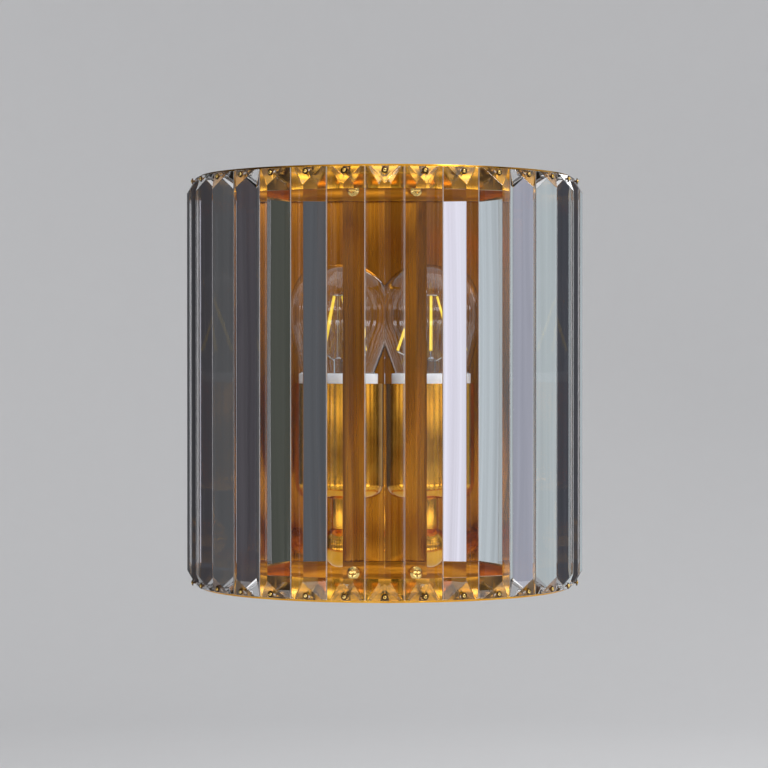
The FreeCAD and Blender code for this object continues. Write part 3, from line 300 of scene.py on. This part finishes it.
def leadSkin(name, look, striped):
    finish = Finish(name)
    place = finish.coordinates()
    pores = finish.noise(place, leadGrain["pores"], 2.0)
    tone = finish.noise(place, leadGrain["tone"], 2.0)
    if striped:
        waves = finish.node("ShaderNodeTexWave", {
            "Vector": place, "Scale": leadGrain["stripes"], "Distortion": leadGrain["wander"]},
            out="Fac", bands_direction="DIAGONAL")
        tone = finish.within(waves, 0.55, 0.6)
    return finish.done(finish.surface({
        "Base Color": finish.mixed(tone, look["shade"], look["colour"]),
        "Roughness": look["roughness"] + 0.15 * pores,
        "Normal": finish.bump(pores, 0.1, 0.1 * mm)}))


# phosphor on the filament sticks: grainy yellow, with a weak painted glow that brightens it
filamentLook = {"light": (1.0, 0.74, 0.05), "deep": (0.95, 0.58, 0.02), "glow": 0.45, "grains": 3200.0}


def phosphorSkin(name, look):
    finish = Finish(name)
    grains = finish.noise(finish.coordinates(), look["grains"], 3.0)
    colour = finish.mixed(finish.within(grains, 0.35, 0.65), look["deep"], look["light"])
    return finish.done(finish.surface({
        "Base Color": colour,
        "Roughness": 0.45 + 0.2 * grains,
        "Emission Color": colour,
        # painted glow: the phosphor gives off a little light of its own colour
        "Emission Strength": look["glow"],
        "Normal": finish.bump(grains, 0.3, 0.0002)}))


smallBrassLook = {"deep": (0.84, 0.54, 0.12), "light": (0.98, 0.74, 0.28), "roughness": 0.16, "smears": 0.08}
# painted shade: the pin heads are coloured near-black for the dark reflections round their bright centres
pinShadeLook = {"deep": (0.055, 0.028, 0.012), "light": (0.15, 0.075, 0.028), "roughness": 0.22, "smears": 0.12}
copperLook = {"deep": (0.62, 0.60, 0.57), "light": (0.80, 0.78, 0.75), "roughness": 0.2, "smears": 0.12}
shellLook = {"deep": (0.62, 0.61, 0.58), "light": (0.82, 0.81, 0.78), "roughness": 0.22, "smears": 0.12}

finishes = {
    "polished_brass": polishedMetal("polishedBrass", polishedLook),
    "brushed_brass": brushedMetal("brushedBrass", brushedLook),
    "small_brass": polishedMetal("smallBrass", smallBrassLook),
    "zinc_steel": platedSteel("zincSteel", steelLook),
    "tinned_copper": polishedMetal("tinnedCopper", copperLook),
    "crystal": clearGlass("cutCrystal", crystalLook),
    "bulb_glass": clearGlass("bulbGlass", bulbLook),
    "white_porcelain": mouldedSkin("whitePorcelain", glazeLook),
    "screw_shell": polishedMetal("screwShell", shellLook),
    "black_insulator": mouldedSkin("blackInsulator", blackLook),
    "filament": phosphorSkin("filamentPhosphor", filamentLook),
    "white_nylon": mouldedSkin("whiteNylon", nylonLook),
}
for leadName, leadLook in leadLooks.items():
    finishes[leadName] = leadSkin(leadName, leadLook, leadName == "green_lead")
slotOf = {part["node"]: part["material_slot"] for part in frame["record"]["subparts"]}
bodyOf = {name: body for body, names in frame["record"]["behaviour"]["bodies"].items() for name in names}
bandFinish = bandMetal("bandBrass", polishedLook, bandLook)
for name, node in nodes.items():
    node.data.materials.clear()
    node.data.materials.append(bandFinish if name.endswith("_ring") else finishes[slotOf[name]])
groundFinish = groundGlass("groundCrystal", groundLook)
pinShadeFinish = polishedMetal("pinPaintedShade", pinShadeLook)
print(f"finishes: {len(finishes)}")


def newPiece(name, mesh, replaced):
    piece = bpy.data.objects.new(name, mesh)
    scene.collection.objects.link(piece)
    if not mesh.materials:
        mesh.materials.append(nodes[replaced[0]].data.materials[0])
    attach(piece, bodyOf[replaced[0]])
    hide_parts(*replaced)
    return piece


def plainMesh(maker, name):
    # what the object's modifiers make of it, as a mesh of its own
    bpy.context.view_layer.update()
    view = bpy.context.evaluated_depsgraph_get()
    mesh = bpy.data.meshes.new_from_object(maker.evaluated_get(view), depsgraph=view)
    mesh.name = name
    bpy.data.objects.remove(maker)
    return mesh


def smoothed(mesh, angle=32):
    # shades by angle: flats stay flat, round faces run smooth
    for face in mesh.polygons:
        face.use_smooth = True
    mesh.set_sharp_from_angle(angle=math.radians(angle))
    return mesh


def closedForm(work):
    bmesh.ops.remove_doubles(work, verts=work.verts, dist=1e-7)
    bmesh.ops.recalc_face_normals(work, faces=work.faces)
    mesh = bpy.data.meshes.new("form")
    work.to_mesh(mesh)
    work.free()
    return mesh


# the listed metal and moulded nodes get their sharp edges broken by a fine round
edgeLook = {"width": 0.18 * mm, "steps": 2, "angle": 34, "flat": 0.6}


def easedCopy(name):
    work = bmesh.new()
    work.from_mesh(nodes[name].data)
    bmesh.ops.remove_doubles(work, verts=work.verts, dist=1e-6)
    bmesh.ops.dissolve_limit(work, angle_limit=math.radians(edgeLook["flat"]), verts=work.verts,
                             edges=work.edges)
    mesh = bpy.data.meshes.new(name)
    work.to_mesh(mesh)
    work.free()
    maker = bpy.data.objects.new("maker", mesh)
    scene.collection.objects.link(maker)
    bevel = maker.modifiers.new("edge", "BEVEL")
    bevel.width = edgeLook["width"]
    bevel.segments = edgeLook["steps"]
    bevel.limit_method = "ANGLE"
    bevel.angle_limit = math.radians(edgeLook["angle"])
    return smoothed(plainMesh(maker, name))


eased = ["upper_ring", "lower_ring", "back_plate", "arm", "arm_ball", "neck_tube", "holder_cup",
         "upper_ring_screws", "lower_ring_screws", "ring_nuts", "wall_bracket", "bracket_screws",
         "lampholder_body", "terminal_block", "cup_nut", "arm_nut", "arm_washer", "arm_nipple"]
for name in eased:
    newPiece(f"{name}_eased", easedCopy(name), [name])
print(f"eased edges: {len(eased)} pieces")


# a geometry tree with named sizes, made into a plain mesh
class Recipe:
    def __init__(self, name):
        self.tree = bpy.data.node_groups.new(name, "GeometryNodeTree")
        self.tree.interface.new_socket("Geometry", in_out="OUTPUT", socket_type="NodeSocketGeometry")
        self.inlet = self.tree.nodes.new("NodeGroupInput")
        self.outlet = self.tree.nodes.new("NodeGroupOutput")

    def size(self, name, kind="Float"):
        self.tree.interface.new_socket(name, in_out="INPUT", socket_type=f"NodeSocket{kind}")
        return self.inlet.outputs[name]

    def node(self, kind, sockets=None, out=0, **settings):
        made = self.tree.nodes.new(f"GeometryNode{kind}" if not kind.startswith("Shader") else kind)
        for setting, value in settings.items():
            setattr(made, setting, value)
        for socket, value in (sockets or {}).items():
            if isinstance(value, bpy.types.NodeSocket):
                self.tree.links.new(value, made.inputs[socket])
            else:
                made.inputs[socket].default_value = value
        return made.outputs[out]

    def made(self, geometry, name, **sizes):
        self.tree.links.new(geometry, self.outlet.inputs[0])
        maker = bpy.data.objects.new("maker", bpy.data.meshes.new("maker"))
        scene.collection.objects.link(maker)
        modifier = maker.modifiers.new("recipe", "NODES")
        modifier.node_group = self.tree
        for socket in self.tree.interface.items_tree:
            if socket.in_out == "INPUT":
                modifier[socket.identifier] = sizes[socket.name]
        return plainMesh(maker, name)


def aroundFront(name, template, finish, sizes, second=None):
    # copies of the template on the rings' round front, one for each crystal, facing outwards; faces that the
    # template's attribute "second" marks take the second finish
    recipe = Recipe(name)
    shape = recipe.size("template", "Object")
    count = recipe.size("count", "Int")
    first = recipe.size("first")
    sweep = recipe.size("sweep")
    centre = recipe.size("centre", "Vector")
    arc = recipe.node("CurveArc", {"Resolution": count, "Radius": 0.1 * mm, "Start Angle": first,
                                   "Sweep Angle": sweep}, mode="RADIUS")
    points = recipe.node("CurveToPoints", {"Curve": arc}, mode="EVALUATED")
    index = recipe.node("InputIndex")
    gaps = recipe.node("ShaderNodeMath", {0: count, 1: 1.0}, operation="SUBTRACT")
    pitch = recipe.node("ShaderNodeMath", {0: sweep, 1: gaps}, operation="DIVIDE")
    angle = recipe.node("ShaderNodeMath", {0: index, 1: pitch, 2: first}, operation="MULTIPLY_ADD")
    turn = recipe.node("ShaderNodeCombineXYZ", {"Z": angle})
    level = recipe.node("SetPosition", {"Geometry": points, "Position": (0, 0, 0)})
    item = recipe.node("ObjectInfo", {"Object": shape}, out="Geometry")
    copies = recipe.node("InstanceOnPoints", {"Points": level, "Instance": item, "Rotation": turn})
    moved = recipe.node("Transform", {"Geometry": copies, "Translation": centre})
    whole = recipe.node("RealizeInstances", {"Geometry": moved})
    coated = recipe.node("SetMaterial", {"Geometry": whole, "Material": recipe.size("finish", "Material")})
    marked = recipe.node("InputNamedAttribute", {"Name": "second"}, data_type="BOOLEAN")
    coated = recipe.node("SetMaterial", {"Geometry": coated, "Selection": marked,
                                         "Material": recipe.size("second", "Material")})
    return recipe.made(coated, name, template=template, finish=finish, second=second or finish, **sizes)


# the crystal bar: flat back, two facets up to a ridge, both ends cut back to a slant
crystalSizes = {"backRadius": 112.3 * mm, "halfWidth": 10.9 * mm, "side": 0.5 * mm, "rise": 8.0 * mm,
                "slope": 10.2 * mm, "end": 2.0 * mm, "edge": 0.16 * mm, "edgeAngle": 20, "hole": 0.9 * mm,
                "drill": 30 * mm, "inset": 2.6 * mm, "pitch": 11.25, "centre": (0, -20 * mm, 0),
                "groundTurn": 0.72}
crystalNames = sorted(name for name in nodes if name.startswith("crystal_"))


def crystalBar(sizes, length):
    # made along Z with its back on x = backRadius and its ridge towards +X
    half = length / 2
    back = sizes["backRadius"]
    shoulder = back + sizes["side"]
    ridge = shoulder + sizes["rise"]
    outline = [(back, -1), (shoulder, -1), (ridge, 0), (shoulder, 1), (back, 1)]
    work = bmesh.new()
    floor = [work.verts.new((x, side * sizes["halfWidth"], -half)) for x, side in outline]
    base = work.faces.new(floor)
    lifted = bmesh.ops.extrude_face_region(work, geom=[base])
    for vert in lifted["geom"]:
        if isinstance(vert, bmesh.types.BMVert):
            vert.co.z = half
    for sign in (-1, 1):
        cut = Vector((back + sizes["end"], 0, sign * half))
        foot = Vector((ridge, 0, sign * (half - sizes["slope"])))
        along = foot - cut
        normal = Vector((abs(along.z), 0, sign * along.x)).normalized()
        sliced = bmesh.ops.bisect_plane(work, geom=work.verts[:] + work.edges[:] + work.faces[:],
                                        plane_co=cut, plane_no=normal, clear_outer=True)
        rim = [edge for edge in sliced["geom_cut"] if isinstance(edge, bmesh.types.BMEdge)]
        bmesh.ops.edgeloop_fill(work, edges=rim)
    return closedForm(work)


def holed(form, sizes, length):
    # bevels the bar, drills it near both ends and marks its ground sides
    maker = bpy.data.objects.new("maker", form)
    scene.collection.objects.link(maker)
    bevel = maker.modifiers.new("edge", "BEVEL")
    bevel.width = sizes["edge"]
    bevel.segments = 1
    bevel.limit_method = "ANGLE"
    bevel.angle_limit = math.radians(sizes["edgeAngle"])
    drills = []
    for sign in (-1, 1):
        work = bmesh.new()
        bmesh.ops.create_cone(work, cap_ends=True, segments=16, radius1=sizes["hole"], radius2=sizes["hole"],
                              depth=sizes["drill"])
        across = Matrix.Rotation(math.pi / 2, 4, "Y")
        spot = Vector((sizes["backRadius"], 0, sign * (length / 2 - sizes["inset"])))
        work.transform(Matrix.Translation(spot) @ across)
        mesh = bpy.data.meshes.new("drill")
        work.to_mesh(mesh)
        work.free()
        drill = bpy.data.objects.new("drill", mesh)
        scene.collection.objects.link(drill)
        drills.append(drill)
        cut = maker.modifiers.new("hole", "BOOLEAN")
        cut.object = drill
        cut.operation = "DIFFERENCE"
        cut.solver = "EXACT"
    mesh = plainMesh(maker, "crystalBar")
    for drill in drills:
        bpy.data.objects.remove(drill)
    ground = mesh.attributes.new("second", "BOOLEAN", "FACE")
    for face, mark in zip(mesh.polygons, ground.data):
        mark.value = abs(face.normal.y) > sizes["groundTurn"]
    return mesh


def frontSizes():
    # one place for each crystal, evenly spaced about the middle of the front
    half = math.radians(crystalSizes["pitch"]) * (len(crystalNames) - 1) / 2
    return {"count": len(crystalNames), "first": -math.pi / 2 - half, "sweep": 2 * half,
            "centre": crystalSizes["centre"]}


def makeCrystals():
    low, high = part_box(crystalNames[0])
    length = high.z - low.z
    bar = bpy.data.objects.new("bar", holed(crystalBar(crystalSizes, length), crystalSizes, length))
    scene.collection.objects.link(bar)
    mesh = aroundFront("crystals", bar, finishes["crystal"], frontSizes(), groundFinish)
    bpy.data.objects.remove(bar)
    for face in mesh.polygons:
        face.use_smooth = False
    return newPiece("crystals", mesh, crystalNames)


makeCrystals()
print(f"crystals: {len(crystalNames)}")


# the bulb's glass: a ball on a neck that bends in smoothly, blown thin
bulbSizes = {"radius": 30.0 * mm, "top": 69.8 * mm, "neck": 13.6 * mm, "upright": 3.0 * mm, "wall": 0.5 * mm,
             "round": 9.0 * mm, "axis": (0, -68.5 * mm), "capGap": 0.2 * mm, "turns": 96, "bends": 6,
             "steps": 40}


def lathe(profile, axis, turns):
    # turns a closed profile of (radius, height) pairs about an upright axis
    work = bmesh.new()
    rings = []
    for radius, height in profile:
        ring = []
        for step in range(turns if radius > 0.001 * mm else 1):
            angle = 2 * math.pi * step / turns
            x = axis[0] + radius * math.cos(angle)
            y = axis[1] + radius * math.sin(angle)
            ring.append(work.verts.new((x, y, height)))
        rings.append(ring)
    for lower, upper in zip(rings, rings[1:] + rings[:1]):
        if len(lower) == 1 and len(upper) == 1:
            continue
        for step in range(turns):
            after = (step + 1) % turns
            corners = [lower[step % len(lower)], lower[after % len(lower)],
                       upper[after % len(upper)], upper[step % len(upper)]]
            work.faces.new(list(dict.fromkeys(corners)))
    return closedForm(work)


def bulbOutline(sizes, foot, inset):
    # an upright neck, a cone and a ball that it touches, from the foot to the crown, drawn in by inset
    ball = sizes["radius"]
    middle = sizes["top"] - ball
    corner = foot + sizes["upright"]
    rise = middle - corner
    slant = math.asin(ball / math.hypot(sizes["neck"], rise)) - math.atan2(sizes["neck"], rise)
    start = sizes["round"] * math.tan(slant / 2)
    points = [(sizes["neck"] - inset, foot)]
    for step in range(sizes["bends"] + 1):
        angle = slant * step / sizes["bends"]
        reach = sizes["round"] + inset
        points.append((sizes["neck"] + sizes["round"] - reach * math.cos(angle),
                       corner - start + reach * math.sin(angle)))
    for step in range(sizes["steps"] + 1):
        angle = -slant + (math.pi / 2 + slant) * step / sizes["steps"]
        reach = ball - inset
        points.append((max(0.0, reach * math.cos(angle)), middle + reach * math.sin(angle)))
    return points


def makeBulbGlass():
    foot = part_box("bulb_cap")[1].z + bulbSizes["capGap"]
    outside = bulbOutline(bulbSizes, foot, 0.0)
    inside = bulbOutline(bulbSizes, foot, bulbSizes["wall"])
    mesh = lathe(outside + inside[::-1], bulbSizes["axis"], bulbSizes["turns"])
    return newPiece("bulb_glass_blown", smoothed(mesh, 60), ["bulb_glass"])


makeBulbGlass()
print("bulb glass")


# pins through the crystals' ends: a head with a bright boss in it and a dimple in the boss; the head is
# painted near-black, a painted shade that stands in for the dark reflections round the bright centre
pinSizes = {"head": 1.9 * mm, "high": 1.1 * mm, "boss": 1.05 * mm, "dimple": 0.33 * mm, "shank": 0.6 * mm,
            "tail": 110.45 * mm, "tailRadius": 1.2 * mm, "tailHigh": 0.6 * mm, "turns": 28}
# shares of a part's radius and of the head's height
headCurve = [(1.0, 0.0), (1.0, 0.2), (0.96, 0.36), (0.88, 0.48), (0.78, 0.56), (0.66, 0.6), (0.58, 0.54)]
bossCurve = [(1.0, 0.6), (0.95, 0.76), (0.82, 0.89), (0.62, 0.97), (0.42, 1.0)]
dimpleCurve = [(1.0, 0.86), (0.6, 0.8), (0.0, 0.78)]
bossFoot = 0.55


def makePins(name):
    low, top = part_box(name)
    centre = Vector(crystalSizes["centre"])
    high = pinSizes["high"]
    seat = centre.y - low.y - high
    boss, dimple, tail = (pinSizes[part] for part in ("boss", "dimple", "tail"))
    profile = [(0.0, tail - pinSizes["tailHigh"]), (pinSizes["tailRadius"], tail - pinSizes["tailHigh"]),
               (pinSizes["tailRadius"], tail), (pinSizes["shank"], tail), (pinSizes["shank"], seat)]
    for radius, curve in ((pinSizes["head"], headCurve), (boss, bossCurve), (dimple, dimpleCurve)):
        profile += [(radius * reach, seat + high * rise) for reach, rise in curve]
    mesh = lathe(profile, (0, 0), pinSizes["turns"])
    mark = mesh.attributes.new("second", "BOOLEAN", "FACE")
    for face, bright in zip(mesh.polygons, mark.data):
        bright.value = face.center.z > seat + bossFoot * high and dimple < face.center.xy.length < boss
    mesh.transform(Matrix.Translation((0, 0, (low.z + top.z) / 2)) @ Matrix.Rotation(math.pi / 2, 4, "Y"))
    pin = bpy.data.objects.new("pin", smoothed(mesh, 40))
    scene.collection.objects.link(pin)
    pins = aroundFront(name, pin, pinShadeFinish, frontSizes(), finishes["small_brass"])
    bpy.data.objects.remove(pin)
    newPiece(f"{name}_turned", pins, [name])


makePins("upper_pins")
makePins("lower_pins")
print("pins")


# a pale floor that curves up all round
stageLook = {"colour": (0.74, 0.74, 0.745), "fibres": 40.0, "shade": 0.985, "floor": -0.42, "flat": 1.5,
             "curve": 0.9, "wall": 1.1, "turns": 96, "steps": 16}


def makeStage():
    profile = [(0.0, stageLook["floor"]), (stageLook["flat"], stageLook["floor"])]
    for step in range(1, stageLook["steps"] + 1):
        angle = math.pi / 2 * step / stageLook["steps"]
        profile.append((stageLook["flat"] + stageLook["curve"] * math.sin(angle),
                        stageLook["floor"] + stageLook["curve"] * (1 - math.cos(angle))))
    profile.append((profile[-1][0], profile[-1][1] + stageLook["wall"]))
    work = bmesh.new()
    turns = stageLook["turns"]
    rings = []
    for radius, height in profile:
        rings.append([work.verts.new((radius * math.cos(2 * math.pi * step / turns),
                                      radius * math.sin(2 * math.pi * step / turns), height))
                      for step in range(turns if radius else 1)])
    for lower, upper in zip(rings, rings[1:]):
        for step in range(turns):
            after = (step + 1) % turns
            corners = [lower[step % len(lower)], upper[step], upper[after], lower[after % len(lower)]]
            work.faces.new(list(dict.fromkeys(corners)))
    mesh = bpy.data.meshes.new("stage")
    bmesh.ops.recalc_face_normals(work, faces=work.faces)
    work.to_mesh(mesh)
    work.free()
    for face in mesh.polygons:
        face.use_smooth = True
    finish = Finish("palePaper")
    fibres = finish.noise(finish.coordinates(), stageLook["fibres"], 3.0)
    shade = tuple(part * stageLook["shade"] for part in stageLook["colour"])
    mesh.materials.append(finish.done(finish.surface({
        "Base Color": finish.mixed(fibres, stageLook["colour"], shade),
        "Roughness": 0.9,
        "Specular IOR Level": 0.1})))
    floor = bpy.data.objects.new("floor", mesh)
    scene.collection.objects.link(floor)


lampLooks = {
    "key": {"at": (1.15, -1.1, 1.25), "size": (0.9, 0.9), "power": 22},
    "fill": {"at": (-1.3, -0.95, 0.5), "size": (0.9, 1.3), "power": 3},
    "lowStrip": {"at": (0, -1.15, -0.31), "size": (2.0, 0.2), "power": 3.3},
    "highStrip": {"at": (0, -1.3, 0.62), "size": (2.4, 0.25), "power": 1.2},
    "top": {"at": (0.1, -0.2, 1.7), "size": (1.4, 1.4), "power": 8},
    "rim": {"at": (0.9, 1.3, 0.9), "size": (0.7, 0.7), "power": 5},
}

# cards round the light, which the crystals and the brass show and the camera doesn't: a shaded one on the
# left, a pale one on the right and a dim one in front; stops are degrees from +Y towards +X with the colour
# there, and levels are heights with the brightness there
cardLooks = {
    "leftCard": {"low": -0.4, "high": 1.3, "stops": [
        (-125, (0.22, 0.21, 0.20)), (-114, (0.22, 0.21, 0.20)), (-112, (0.02, 0.02, 0.02)),
        (-102, (0.02, 0.02, 0.02)), (-99, (0.054, 0.050, 0.060)), (-87, (0.054, 0.050, 0.060)),
        (-74, (0.066, 0.066, 0.070)), (-64, (0.074, 0.077, 0.082)), (-50, (0.045, 0.043, 0.050)),
        (-41, (0.036, 0.034, 0.040)), (-34, (0.050, 0.056, 0.046)), (-31, (0.055, 0.062, 0.046)),
        (-29.6, (0.062, 0.070, 0.088)), (-26, (0.078, 0.084, 0.094)), (-22, (0.082, 0.086, 0.094)),
        (-19, (0.035, 0.034, 0.038)), (-8, (0.035, 0.034, 0.038))]},
    "rightCard": {"low": -0.4, "high": 1.3, "stops": [
        (8, (0.07, 0.07, 0.08)), (20, (0.07, 0.07, 0.08)), (21.5, (0.79, 0.77, 0.89)),
        (26.5, (0.79, 0.77, 0.89)), (29, (0.52, 0.58, 0.62)), (33, (0.52, 0.58, 0.62)),
        (36, (0.30, 0.33, 0.36)), (39, (0.045, 0.048, 0.060)), (47, (0.045, 0.048, 0.060)),
        (58, (0.42, 0.47, 0.49)), (70, (0.42, 0.47, 0.49)), (87, (0.34, 0.35, 0.42)),
        (98, (0.34, 0.35, 0.42)), (102, (0.02, 0.02, 0.02)), (112, (0.02, 0.02, 0.02)),
        (114, (0.22, 0.21, 0.20)), (125, (0.22, 0.21, 0.20))]},
    "frontFlag": {"low": -0.4, "high": 0.9, "stops": [
        (125, (0.20, 0.19, 0.18)), (180, (0.27, 0.25, 0.235)), (235, (0.20, 0.19, 0.18))],
        "levels": [(-0.4, 2.6), (-0.36, 2.6), (-0.32, 1.0), (0.27, 1.0), (0.35, 6.0), (0.5, 6.0),
                   (0.58, 0.4)]},
}
cardSizes = {"away": 1.75, "steps": 48, "streaks": (170, 170, 0.9), "least": 0.86, "more": 0.28}
# narrow shades behind the light's two sides, which only the outermost crystals show
shadeLook = {"from": 0.149, "to": 0.174, "back": 0.10, "high": 0.17, "deep": (0.012, 0.012, 0.016),
             "light": (0.045, 0.045, 0.050)}


def makeCards():
    for name, look in cardLooks.items():
        first = look["stops"][0][0]
        last = look["stops"][-1][0]
        work = bmesh.new()
        rows = []
        for step in range(cardSizes["steps"] + 1):
            angle = math.radians(first + (last - first) * step / cardSizes["steps"])
            x = cardSizes["away"] * math.sin(angle)
            y = cardSizes["away"] * math.cos(angle)
            rows.append([work.verts.new((x, y, look["low"])), work.verts.new((x, y, look["high"]))])
        for left, right in zip(rows, rows[1:]):
            work.faces.new((left[0], left[1], right[1], right[0]))
        mesh = bpy.data.meshes.new(name)
        work.to_mesh(mesh)
        work.free()
        finish = Finish(name)
        place = finish.coordinates()
        across = finish.axis(place, "X")
        back = finish.axis(place, "Y")
        degrees = 180 / math.pi
        if name == "frontFlag":
            turned = 180 - finish.maths("ARCTAN2", across, 0 - back) * degrees
        else:
            side = math.copysign(1, last)
            turned = finish.maths("ARCTAN2", across * side, back) * (side * degrees)
        ramp = finish.node("ShaderNodeValToRGB", {"Fac": finish.within(turned, first, last)}, stops=[
            ((angle - first) / (last - first), colour) for angle, colour in look["stops"]])
        streaks = finish.noise(finish.stretched(place, cardSizes["streaks"]), 1.0, 3.0)
        tone = cardSizes["least"] + cardSizes["more"] * finish.within(streaks, 0.3, 0.7)
        if "levels" in look:
            height = finish.within(finish.axis(place, "Z"), look["low"], look["high"])
            rise = look["high"] - look["low"]
            most = max(level for _, level in look["levels"])
            tone = tone * most * finish.node("ShaderNodeValToRGB", {"Fac": height}, stops=[
                ((z - look["low"]) / rise, (level / most,) * 3) for z, level in look["levels"]])
        mesh.materials.append(finish.done(finish.node("ShaderNodeEmission", {
            "Color": finish.node("ShaderNodeMix", {0: 1.0, 6: ramp, 7: tone}, out=2, data_type="RGBA",
                                 blend_type="MULTIPLY")})))
        addCard(name, mesh)
    for side in (-1, 1):
        edges = [(side * shadeLook[end], shadeLook["back"]) for end in ("from", "to")]
        corners = [(x, y, height * shadeLook["high"]) for x, y in edges for height in (-1, 1)]
        mesh = bpy.data.meshes.new("sideShade")
        mesh.from_pydata(corners, [], [(0, 1, 3, 2)])
        finish = Finish("sideShade")
        lines = finish.noise(finish.stretched(finish.coordinates(), (420, 1, 1.5)), 1.0, 3.0)
        mesh.materials.append(finish.done(finish.node("ShaderNodeEmission", {
            "Color": finish.mixed(finish.within(lines, 0.35, 0.65), shadeLook["deep"], shadeLook["light"])})))
        addCard("sideShade", mesh)


def addCard(name, mesh):
    card = bpy.data.objects.new(name, mesh)
    scene.collection.objects.link(card)
    card.visible_camera = False
    card.visible_shadow = False
    card.visible_diffuse = False


skyLook = {"colour": (0.80, 0.81, 0.84), "strength": 0.45}
lampAim = (0, -0.07, 0)


def makeLamps():
    # the strips show only in glass and metal, and the fill only on matt surfaces
    target = Vector(lampAim)
    for name, look in lampLooks.items():
        light = bpy.data.lights.new(name, "AREA")
        light.shape = "RECTANGLE"
        light.size, light.size_y = look["size"]
        light.energy = look["power"]
        lamp = bpy.data.objects.new(name, light)
        scene.collection.objects.link(lamp)
        lamp.location = look["at"]
        lamp.rotation_euler = (target - lamp.location).to_track_quat("-Z", "Y").to_euler()
        lamp.visible_camera = False
        lamp.visible_transmission = name.endswith("Strip")
        lamp.visible_diffuse = not name.endswith("Strip")
        lamp.visible_glossy = name != "fill"
    world = bpy.data.worlds.new("studio")
    scene.world = world
    sky = Finish("studio", world)
    glow = sky.node("ShaderNodeBackground", {"Color": skyLook["colour"], "Strength": skyLook["strength"]})
    end = sky.tree.nodes.new("ShaderNodeOutputWorld")
    sky.tree.links.new(glow.socket, end.inputs["Surface"])


cameraLook = {"away": 1.586, "rise": 0.015, "aim": (-0.00044, -0.080, -0.00077), "focalPixels": 2572,
              "pixels": 768, "sensor": 36}


def makeCamera():
    data = bpy.data.cameras.new("camera")
    data.sensor_width = cameraLook["sensor"]
    data.lens = cameraLook["focalPixels"] / cameraLook["pixels"] * data.sensor_width
    camera = bpy.data.objects.new("camera", data)
    scene.collection.objects.link(camera)
    camera.location = (0, -cameraLook["away"], cameraLook["rise"])
    aim = Vector(cameraLook["aim"])
    camera.rotation_euler = (aim - camera.location).to_track_quat("-Z", "Y").to_euler()
    scene.camera = camera


makeStage()
makeCards()
makeLamps()
makeCamera()
print("stage, lamps and camera")
